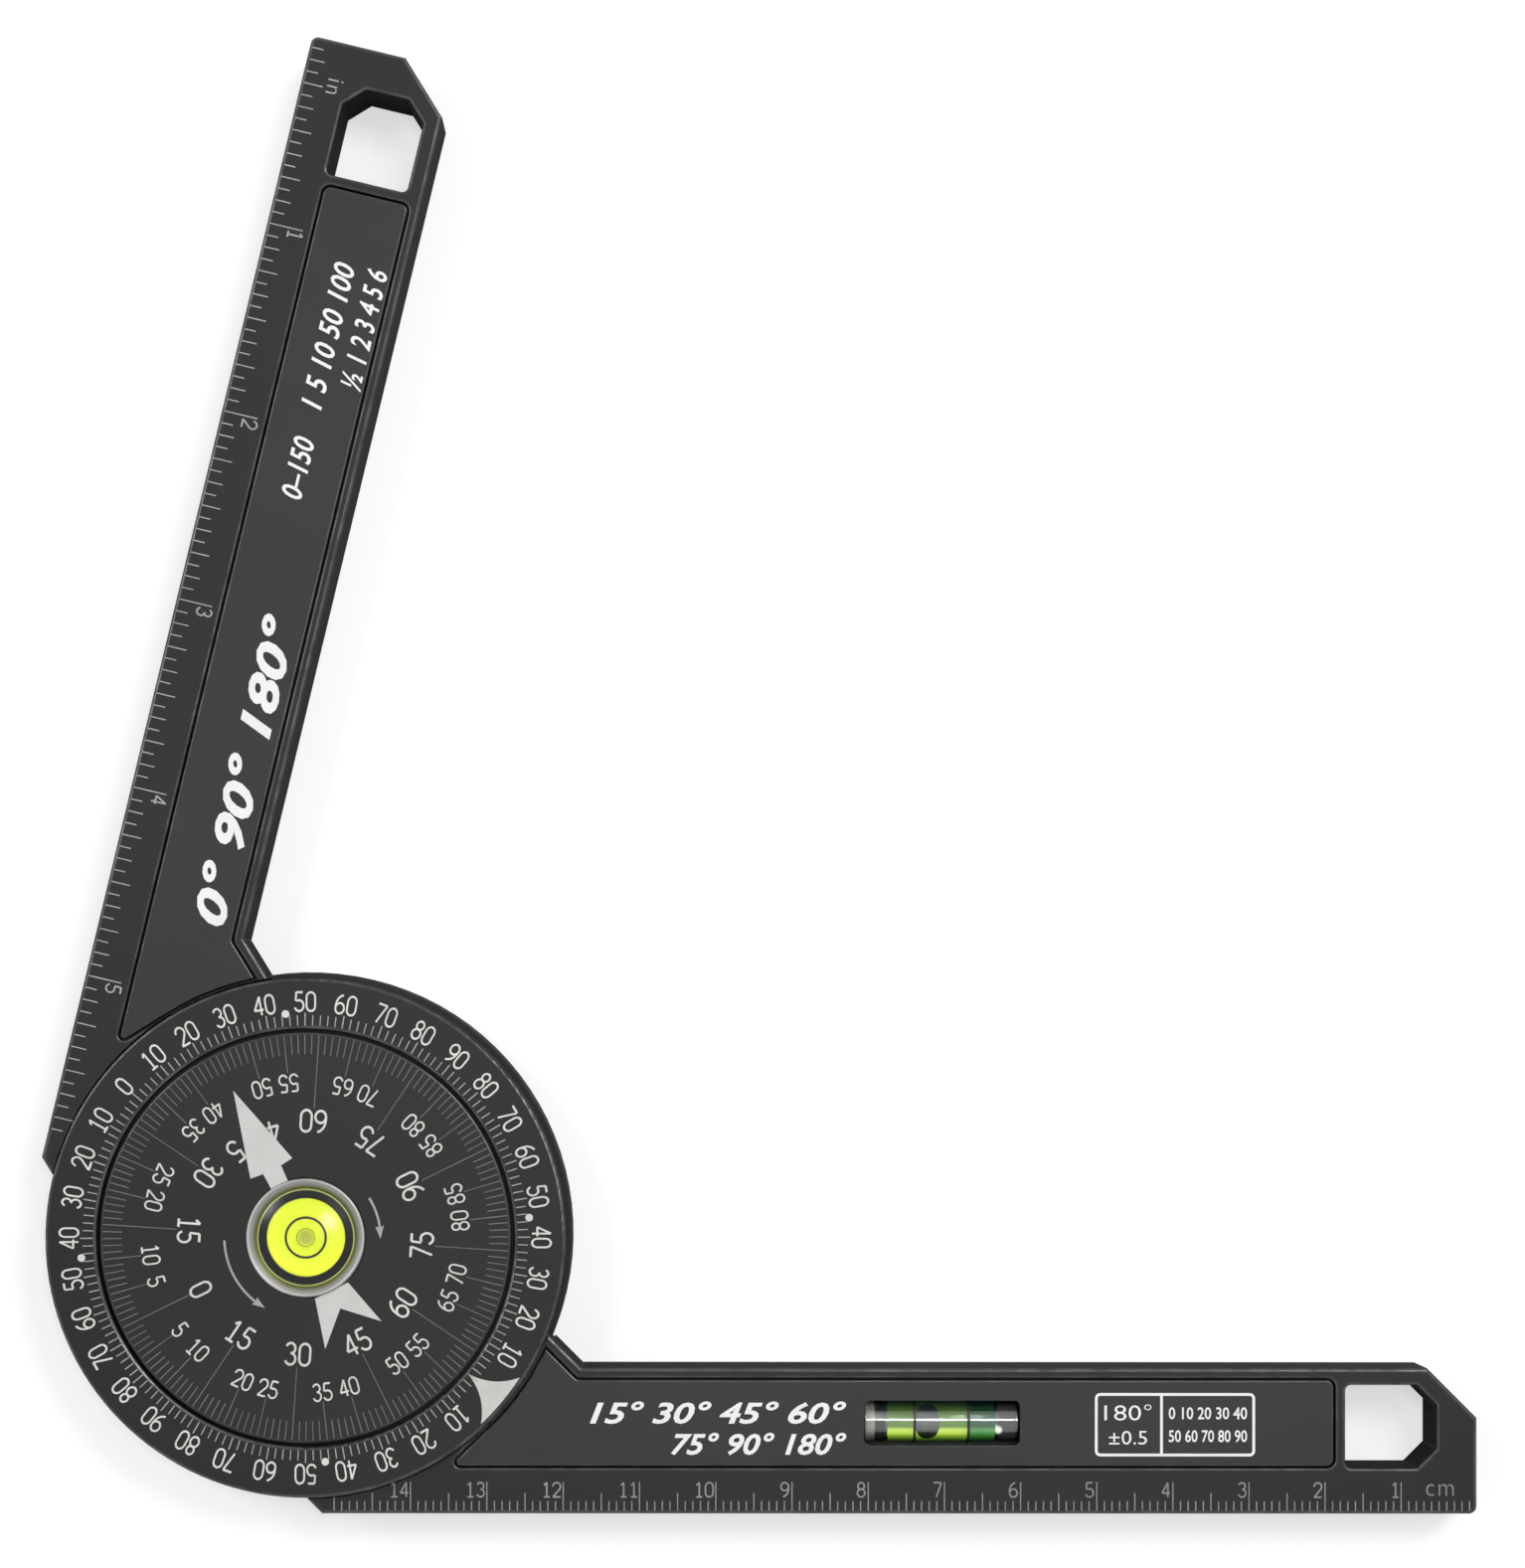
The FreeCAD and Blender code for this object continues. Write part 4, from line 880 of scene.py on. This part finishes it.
def turned_metal(name, colour, rough, lines, depth, worn=(0.3, 0.3, 0.3), wear=0.2):
    """Machined metal: fine turning lines round the hub, cloudy polish and a few rubbed spots."""
    material, tree, shader, place = new_material(name)
    rings = add(
        tree, "TexWave", {"Vector": place, "Scale": lines, "Distortion": 1.5, "Detail": 2},
        wave_type="RINGS", rings_direction="Z",
    )
    film = place_group(mould_grain, place, Grains=7000.0, Clouds=350.0)
    rubbed = place_group(edge_rub, place, Amount=wear, Patches=900.0, Round=0.04 * MM)
    tone = mix_colours(film.outputs["Cloud"], colour, [min(1.0, c * 1.12) for c in colour])
    dull = mix_colours(rubbed.outputs["Rub"], tone, worn)
    film_finish(shader, film, dull, (rough, rough + 0.12), depth, FINE_REACH, rings.outputs["Fac"])
    feed(shader, {"Metallic": 1.0})
    return material


hub_radius, radius_in, radius_out = new_effect(
    "hub_radius", {"Place": None, "From": 0.0, "To": 1.0}, {"Share": "Float"}
)
radius_flat = add(hub_radius, "VectorMath", {0: radius_in["Place"], 1: (1, 1, 0)}, operation="MULTIPLY")
radius_length = add(hub_radius, "VectorMath", {0: radius_flat}, operation="LENGTH")
feed(radius_out, {
    "Share": spread(radius_length, radius_in["From"], radius_in["To"], interpolation_type="SMOOTHSTEP"),
})


def by_radius(material, start, end):
    """A mask that grows from 0 to 1 between two radii round the hub's axis."""
    tree = material.node_tree
    return place_group(hub_radius, add(tree, "TexCoord").outputs["Object"], From=start, To=end)


def paint_over(material, mask, near=None, far=None):
    """Mixes a colour into a material's own by a mask: near where the mask is 0 or far where it is 1."""
    tree = material.node_tree
    shader = tree.nodes["Principled BSDF"]
    own = shader.inputs["Base Color"].links[0].from_socket
    feed(shader, {"Base Color": mix_colours(mask, near or own, far or own)})


def glow_by(material, mask, colour):
    """Paints a glow into a material by a mask: emission that stands in for light gathered in clear plastic.
    """
    tree = material.node_tree
    shade = mix_colours(mask, (0, 0, 0), colour)
    feed(tree.nodes["Principled BSDF"], {"Emission Color": shade, "Emission Strength": 1.0})


bezel_metal = turned_metal("bezel_soft_silver", (0.29, 0.29, 0.28), 0.36, 1800.0, 0.15)
# The rim's inner slope is painted dark olive: a painted reflection of the yellow liquid and the dark cup.
paint_over(bezel_metal, by_radius(bezel_metal, 6.55 * MM, 7.2 * MM), near=(0.13, 0.125, 0.045))
bezel = lathed("bullseye_bezel_turned", [
    (BEZEL_IN, BEZEL_FOOT),
    (BEZEL_OUT - 0.06 * MM, BEZEL_FOOT),
    (BEZEL_OUT, BEZEL_FOOT + 0.06 * MM),
    (BEZEL_OUT, 10.40 * MM),
    (BEZEL_OUT - 0.05 * MM, 10.53 * MM),
    (BEZEL_OUT - 0.14 * MM, 10.62 * MM),
    (BEZEL_OUT - 0.26 * MM, BEZEL_HIGH.z),
    (BEZEL_OUT - 0.40 * MM, 10.62 * MM),
    (BEZEL_OUT - 0.52 * MM, 10.55 * MM),
    (6.62 * MM, 9.90 * MM),
    (6.48 * MM, 9.84 * MM),
    (BEZEL_IN, 9.79 * MM),
], 128)
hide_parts("bullseye_bezel")
dress(bezel, bezel_metal, "swing")
finish_node("bullseye_cup", moulded_plastic(
    "cup_dark_plastic", (0.012, 0.011, 0.009), (0.022, 0.021, 0.015), (0.05, 0.05, 0.04), (0.30, 0.42),
    grains=5200.0, clouds=180.0,
))

# The round level's lens.
# Turned from clear acrylic and slightly domed, it sits in the metal rim over the liquid, with a painted glow
# round its edge.
LENS_LOW, LENS_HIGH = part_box("bullseye_lens")
LENS_RADIUS = LENS_HIGH.x
DOME_TOP = 10.62 * MM
DOME_HEIGHT = 0.84 * MM
DOME_STEPS = 16


def clear_stuff(name, tint, deep, rough, ior, waves=0.004):
    """A clear plastic or liquid: its tint drifts slightly and its face has faint wipe marks."""
    material, _, shader, place = new_material(name)
    film = place_group(mould_grain, place, Grains=1200.0, Clouds=200.0)
    tone = mix_colours(film.outputs["Cloud"], tint, deep)
    film_finish(shader, film, tone, (rough, rough + 0.02), waves, FINE_REACH)
    feed(shader, {"Transmission Weight": 1.0, "IOR": ior})
    return material


lens_clear = clear_stuff("lens_clear_acrylic", (1.0, 1.0, 0.985), (0.98, 0.99, 0.955), 0.16, 1.45)
# Painted glow: an emission ring in the liquid's yellow round the lens's edge.
glow_by(lens_clear, by_radius(lens_clear, 6.14 * MM, 6.28 * MM), (0.26, 0.31, 0.09))
dome = [
    (LENS_RADIUS * k / DOME_STEPS, DOME_TOP - DOME_HEIGHT * (k / DOME_STEPS) ** 2)
    for k in range(DOME_STEPS, -1, -1)
]
lens = lathed("bullseye_lens_domed", [
    (0, LENS_LOW.z), (LENS_RADIUS - 0.05 * MM, LENS_LOW.z), (LENS_RADIUS, LENS_LOW.z + 0.05 * MM), *dome,
], 128)
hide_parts("bullseye_lens")
dress(lens, lens_clear, "swing")

# The round level's dish.
# It is moulded in bright yellow plastic and pressed into the cup; an emission paints a glow on it. A thin
# wall stands round it.
PAD_LOW, PAD_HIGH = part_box("bullseye_pad")
DISH_OUT = PAD_HIGH.x
DISH_WALL = 0.11 * MM
DISH_IN = DISH_OUT - DISH_WALL
LIP_HEIGHT = 8.9 * MM
dish_yellow_painted_glow = moulded_plastic(
    "dish_glowing_yellow", (0.84, 0.95, 0.002), (0.90, 0.99, 0.005), (0.97, 1.0, 0.05), (0.45, 0.55),
    grains=2400.0, clouds=160.0,
)
# Painted glow: this emission stands in for the light that reaches the dish through the lens.
feed(dish_yellow_painted_glow.node_tree.nodes["Principled BSDF"], {
    "Emission Color": (0.70, 0.80, 0.0, 1), "Emission Strength": 0.5,
})
dish = lathed("bullseye_dish", [
    (0, PAD_LOW.z),
    (DISH_OUT - 0.05 * MM, PAD_LOW.z),
    (DISH_OUT, PAD_LOW.z + 0.05 * MM),
    (DISH_OUT, LIP_HEIGHT - 0.03 * MM),
    (DISH_OUT - 0.03 * MM, LIP_HEIGHT),
    (DISH_IN, LIP_HEIGHT - 0.02 * MM),
    (DISH_IN, PAD_HIGH.z + 0.2 * MM),
    (DISH_IN - 0.06 * MM, PAD_HIGH.z + 0.06 * MM),
    (DISH_IN - 0.2 * MM, PAD_HIGH.z),
    (0, PAD_HIGH.z),
], 96)
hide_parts("bullseye_pad")
dress(dish, dish_yellow_painted_glow, "swing")

# The round level's liquid.
# A clear yellow spirit fills the dish up to the lens, less a flat bubble under the middle of the lens.
# It laps a hair over its neighbours, so no two faces lie in one place.
LAP = 0.02 * MM
SPIRIT_IOR = 1.33
SPIRIT_TOP = LENS_LOW.z + LAP
BUBBLE_RADIUS = 1.22 * MM
BUBBLE_DEPTH = 0.48 * MM
BUBBLE_MOUTH = 1.24 * MM
# Faces within this radius and above this height are the bubble's skin.
BUBBLE_SKIN = 1.23 * MM
BUBBLE_LOW = 8.5 * MM
bubble_angles = [math.radians(a) for a in range(0, 91, 10)]
bubble_arc = [
    (BUBBLE_RADIUS * math.sin(a), SPIRIT_TOP - 0.06 * MM - BUBBLE_DEPTH * math.cos(a)) for a in bubble_angles
]
liquid = lathed("bullseye_liquid", [
    (0, PAD_HIGH.z - LAP), (DISH_IN - 0.2 * MM, PAD_HIGH.z - LAP), (DISH_IN + LAP, PAD_HIGH.z + 0.2 * MM),
    (DISH_IN + LAP, SPIRIT_TOP), (BUBBLE_MOUTH, SPIRIT_TOP), *reversed(bubble_arc),
], 96)
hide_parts("bullseye_fluid")
# The bubble's skin is painted dark yellow-green with a pale ring: painted shade and a painted bright ring
# where the bubble bends the light.
bubble_painted_shade_and_ring = clear_stuff("level_bubble_skin", (0.36, 0.40, 0.01), (0.40, 0.44, 0.02), 0.12, SPIRIT_IOR)
feed(bubble_painted_shade_and_ring.node_tree.nodes["Principled BSDF"], {"Transmission Weight": 0.45})
paint_over(bubble_painted_shade_and_ring, by_radius(bubble_painted_shade_and_ring, 1.02 * MM, 1.10 * MM), near=(0.72, 0.76, 0.04))
paint_over(bubble_painted_shade_and_ring, by_radius(bubble_painted_shade_and_ring, 0.78 * MM, 0.86 * MM), near=(0.42, 0.47, 0.01))
spirit_yellow = clear_stuff("level_yellow_liquid", (0.99, 1.0, 0.36), (0.98, 1.0, 0.30), 0.0, SPIRIT_IOR)
dress(liquid, spirit_yellow, "swing")
liquid.data.materials.append(bubble_painted_shade_and_ring)
for face in liquid.data.polygons:
    face.material_index = int(face.center.xy.length < BUBBLE_SKIN and face.center.z > BUBBLE_LOW)

# The black circle that the round level's bubble is read against.
# It is a printed ring of black ink, laid into the underside of the lens.
CIRCLE_IN = 2.42 * MM
CIRCLE_OUT = 2.75 * MM
CIRCLE_RIM = 0.008 * MM
circle_bottom = LENS_LOW.z + 0.03 * MM
circle_top = LENS_LOW.z + 0.07 * MM
level_circle = lathed("printed_ring", [
    (CIRCLE_IN, circle_bottom),
    (CIRCLE_OUT, circle_bottom),
    (CIRCLE_OUT, circle_top - CIRCLE_RIM),
    (CIRCLE_OUT - CIRCLE_RIM, circle_top),
    (CIRCLE_IN + CIRCLE_RIM, circle_top),
    (CIRCLE_IN, circle_top - CIRCLE_RIM),
], 64)
circle_ink = print_ink("ink_black_circle", (0.006, 0.006, 0.003), (0.012, 0.012, 0.005), 0.45)
dress(joined("bullseye_circle", [level_circle]), circle_ink, "swing")

# The liquid of the tube level under the window in the lower arm.
# Green spirit fills the tube round a bubble. Painted light makes a bright band low in it, fading to painted
# shade at the top and the right end.
VIAL_LOW, VIAL_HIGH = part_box("vial_tube")
VIAL_MIDDLE = (VIAL_LOW + VIAL_HIGH) / 2
SPIRIT_LOW, SPIRIT_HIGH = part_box("vial_liquid")
LIQUID_HALF = (SPIRIT_HIGH.x - SPIRIT_LOW.x) / 2
BORE = (SPIRIT_HIGH.y - SPIRIT_LOW.y) / 2
VIAL_BUBBLE = (1.72 * MM, 2.2 * MM, 1.6 * MM)
BUBBLE_X = VIAL_MIDDLE.x - 1.85 * MM
GREEN_PAINTED_LIGHT_BANDS = [
    (0.0, (0.03, 0.06, 0.01)), (0.04, (0.10, 0.22, 0.02)), (0.11, (0.30, 0.52, 0.04)),
    (0.19, (0.66, 0.88, 0.13)), (0.27, (0.60, 0.82, 0.12)), (0.325, (0.42, 0.60, 0.06)),
    (0.37, (0.13, 0.25, 0.05)), (0.60, (0.14, 0.26, 0.06)), (0.80, (0.055, 0.115, 0.022)),
    (1.0, (0.012, 0.025, 0.018)),
]
BUBBLE_PAINTED_REFLECTION_BANDS = [
    (0.0, (0.004, 0.008, 0.004)), (0.25, (0.03, 0.045, 0.03)), (0.45, (0.10, 0.12, 0.115)),
    (0.6, (0.07, 0.085, 0.085)), (0.82, (0.014, 0.02, 0.022)), (1.0, (0.006, 0.009, 0.012)),
]

band_paint, band_in, band_out = new_effect(
    "band_paint", {"Place": None, "Middle": 0.0, "Half": 1.0}, {"Across": "Float"}
)
band_axes = add(band_paint, "SeparateXYZ", {0: band_in["Place"]})
band_low = maths("SUBTRACT", band_in["Middle"], band_in["Half"])
band_high = maths("ADD", band_in["Middle"], band_in["Half"])
feed(band_out, {"Across": spread(band_axes.outputs["Y"], band_low, band_high)})


def colour_stops(tree, factor, stops):
    """A colour ramp by a factor, with stops of (place, colour)."""
    ramp = add(tree, "ValToRGB", {"Fac": factor})
    ramp.color_ramp.interpolation = "EASE"
    while len(ramp.color_ramp.elements) < len(stops):
        ramp.color_ramp.elements.new(0.5)
    for element, (place, colour) in zip(ramp.color_ramp.elements, stops):
        element.position = place
        element.color = (*colour, 1)
    return ramp


def banded(name, stops, deep, shade_from, shade_to, rough, clear):
    """Liquid or a bubble's skin in the tube: painted bands of light and shade across it, painted darker past
    a place along it, and a glow of the same colours.
    """
    material, tree, shader, place = new_material(name)
    band = place_group(band_paint, place, Middle=VIAL_MIDDLE.y, Half=BORE)
    film = place_group(mould_grain, place, Grains=1500.0, Clouds=240.0)
    along = add(tree, "SeparateXYZ", {0: place})
    shade = spread(along.outputs["X"], shade_from, shade_to)
    deepen = mix_colours(shade, colour_stops(tree, band, stops), deep, blend_type="MULTIPLY")
    film_finish(shader, film, deepen, (rough, rough + 0.06), 0.03, GRAIN_REACH)
    # The emission of the painted colours is a painted glow.
    feed(shader, {
        "Transmission Weight": clear, "IOR": 1.36, "Emission Color": deepen, "Emission Strength": 0.4,
    })
    return material


shade_from, shade_to = VIAL_MIDDLE.x + 3.2 * MM, VIAL_MIDDLE.x + 3.9 * MM
vial_green = banded("vial_green_liquid", GREEN_PAINTED_LIGHT_BANDS, (0.16, 0.42, 0.75), shade_from, shade_to, 0.05, 0.1)
# The bubble's skin is painted in grey bands: a painted reflection of the dark surroundings.
bubble_skin = banded("vial_bubble_skin", BUBBLE_PAINTED_REFLECTION_BANDS, (1, 1, 1), VIAL_MIDDLE.x, VIAL_MIDDLE.x + MM, 0.5, 0.0)
bpy.ops.object.select_all(action="DESELECT")
bpy.ops.mesh.primitive_cylinder_add(
    vertices=64, radius=BORE + LAP, depth=2 * (LIQUID_HALF + LAP), location=VIAL_MIDDLE,
    rotation=(0, math.pi / 2, 0),
)
vial_liquid = bpy.context.object
settle(vial_liquid)
vial_liquid.data.materials.append(vial_green)
rim = vial_liquid.modifiers.new("rim", "BEVEL")
rim.width = 0.15 * MM
rim.segments = 2
rim.limit_method = "ANGLE"
bpy.ops.object.modifier_apply(modifier=rim.name)
bpy.ops.object.select_all(action="DESELECT")
bpy.ops.mesh.primitive_uv_sphere_add(
    segments=48, ring_count=24, radius=1, location=(BUBBLE_X, VIAL_MIDDLE.y, VIAL_MIDDLE.z + VIAL_BUBBLE[2])
)
bubble = bpy.context.object
bubble.scale = VIAL_BUBBLE
settle(bubble)
bubble.data.materials.append(bubble_skin)
hollow = vial_liquid.modifiers.new("bubble", "BOOLEAN")
hollow.operation = "DIFFERENCE"
hollow.object = bubble
hollow.solver = "EXACT"
hollow.material_mode = "TRANSFER"
bpy.context.view_layer.objects.active = vial_liquid
bpy.ops.object.select_all(action="DESELECT")
vial_liquid.select_set(True)
bpy.ops.object.modifier_apply(modifier=hollow.name)
bpy.data.objects.remove(bubble)
bpy.ops.object.shade_smooth_by_angle(angle=math.radians(35))
vial_liquid.name = "vial_liquid_banded"
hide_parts("vial_liquid")
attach(vial_liquid, "base")

# The tube level's tube.
# It is one length of clear acrylic with flame-polished ends, as long as the bed that it lies in. Its
# polished skin mirrors the lamp above in one long line.
TUBE_RADIUS = (VIAL_HIGH.y - VIAL_LOW.y) / 2
TUBE_HALF = 10.05 * MM


def laid_in_bed(piece):
    """Turns a lathed piece's axis onto the tube's axis, along X."""
    piece.rotation_euler = (0, math.pi / 2, 0)
    piece.location = VIAL_MIDDLE
    return settle(piece)


def both_ends(outline):
    """An outline and its mirror image at the other end, in reverse."""
    return [(r, -z) for r, z in reversed(outline)]


tube_outline = [
    (BORE, TUBE_HALF - 0.1 * MM),
    (BORE + 0.1 * MM, TUBE_HALF),
    (TUBE_RADIUS - 0.15 * MM, TUBE_HALF),
    (TUBE_RADIUS, TUBE_HALF - 0.15 * MM),
]
tube = laid_in_bed(lathed("vial_tube_clear", tube_outline + both_ends(tube_outline), 96))
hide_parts("vial_tube")
tube_clear = clear_stuff("tube_clear_acrylic", (1.0, 1.0, 1.0), (0.985, 0.99, 0.985), 0.05, 1.49, 0.0005)
feed(tube_clear.node_tree.nodes["Principled BSDF"], {"Coat Weight": 1.0, "Coat Roughness": 0.13})
dress(tube, tube_clear, "base")

# The tube level's plugs.
# Two grey plastic stoppers are pressed into the tube's ends. Only the left one's pale collar keeps the grey;
# the rest is painted dark, the right end as painted shade, with a painted glint at the right.
PLUG_END = TUBE_HALF - 0.1 * MM
PLUG_HOLLOW = TUBE_HALF - 0.6 * MM
PLUG_SPAN = 10.2 * MM
PLUG_PAINTED_GLINT = (VIAL_MIDDLE.x + 7.5 * MM, VIAL_MIDDLE.y - 0.8 * MM, VIAL_MIDDLE.z + 1.6 * MM)
PLUG_COLLAR_AND_SHADE_STOPS = [
    (0.0, (0, 0, 0)), (0.012, (0, 0, 0)), (0.018, (1, 1, 1)), (0.066, (1, 1, 1)), (0.072, (0, 0, 0)),
    (1.0, (0.08, 0.08, 0.08)),
]
plug_outline = [
    (0, LIQUID_HALF - 0.02 * MM),
    (BORE - 0.35 * MM, LIQUID_HALF),
    (BORE - 0.1 * MM, LIQUID_HALF + 0.12 * MM),
    (BORE + LAP, LIQUID_HALF + 0.4 * MM),
    (BORE + LAP, TUBE_HALF - 0.25 * MM),
    (BORE - 0.2 * MM, PLUG_END),
    (BORE - 0.7 * MM, PLUG_END),
    (BORE - 0.9 * MM, PLUG_HOLLOW),
    (0, PLUG_HOLLOW),
]
plugs = joined("vial_plugs_pressed", [
    laid_in_bed(lathed("plug_right", plug_outline, 64)),
    laid_in_bed(lathed("plug_left", both_ends(plug_outline), 64)),
])
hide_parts("vial_plugs")
plug_plastic = moulded_plastic(
    "plug_grey_plastic", (0.34, 0.34, 0.30), (0.44, 0.44, 0.39), (0.5, 0.5, 0.45), (0.40, 0.55),
    grains=4000.0, clouds=300.0,
)
plug_tree = plug_plastic.node_tree
plug_place = add(plug_tree, "TexCoord").outputs["Object"]
plug_along = add(plug_tree, "SeparateXYZ", {0: plug_place})
plug_share = spread(plug_along.outputs["X"], VIAL_MIDDLE.x - PLUG_SPAN, VIAL_MIDDLE.x + PLUG_SPAN)
glint_distance = add(plug_tree, "VectorMath", {0: plug_place, 1: PLUG_PAINTED_GLINT}, operation="DISTANCE")
painted_glint = spread(glint_distance, 0.75 * MM, 0.35 * MM)
# The ramp paints the plugs dark past the left collar; the right end's dark is painted shade.
paint_over(plug_plastic, colour_stops(plug_tree, plug_share, PLUG_COLLAR_AND_SHADE_STOPS), near=(0.030, 0.034, 0.034))
# A painted glint near the right end: pale colour and a glow.
paint_over(plug_plastic, painted_glint, far=(0.92, 0.95, 0.85))
glow_by(plug_plastic, painted_glint, (0.9, 0.93, 0.8))
dress(plugs, plug_plastic, "base")

# The tube level's two black rings and its bed.
# The rings are thin black bands on the tube, which the bubble is read between. The bed is a dark
# moulded cradle under the panel's window.
finish_node("vial_rings", moulded_plastic(
    "ring_mark_black", (0.008, 0.008, 0.008), (0.014, 0.014, 0.014), (0.03, 0.03, 0.03), (0.45, 0.6),
    grains=6000.0, clouds=300.0,
))
finish_node("vial_bed", moulded_plastic(
    "bed_dark_plastic", (0.018, 0.022, 0.024), (0.026, 0.031, 0.034), (0.05, 0.055, 0.06), (0.35, 0.5),
    grains=3000.0, clouds=150.0,
))

# The screws: six from below into the scale ring, four from the back into the dial's pegs.
# They are small cap screws of zinc-plated steel, turned and with a hexagon socket.
screw_steel = turned_metal(
    "screw_zinc_steel", (0.50, 0.51, 0.53), 0.30, 5200.0, 0.1, worn=(0.22, 0.22, 0.22), wear=0.4
)
finish_node("ring_screws", screw_steel)
finish_node("dial_screws", screw_steel)

# The two washers inside the hub.
# The glide washer is milky slippery plastic between disc and plate; the friction washer is a thin
# spring-steel ring under the dial's rim.
finish_node("glide_washer", moulded_plastic(
    "glide_milky_plastic", (0.62, 0.61, 0.56), (0.72, 0.71, 0.66), (0.78, 0.77, 0.73), (0.30, 0.42),
    grains=2200.0, clouds=60.0,
))
finish_node("friction_washer", turned_metal(
    "friction_spring_steel", (0.42, 0.42, 0.44), 0.28, 2600.0, 0.12, worn=(0.2, 0.2, 0.2), wear=0.3
))
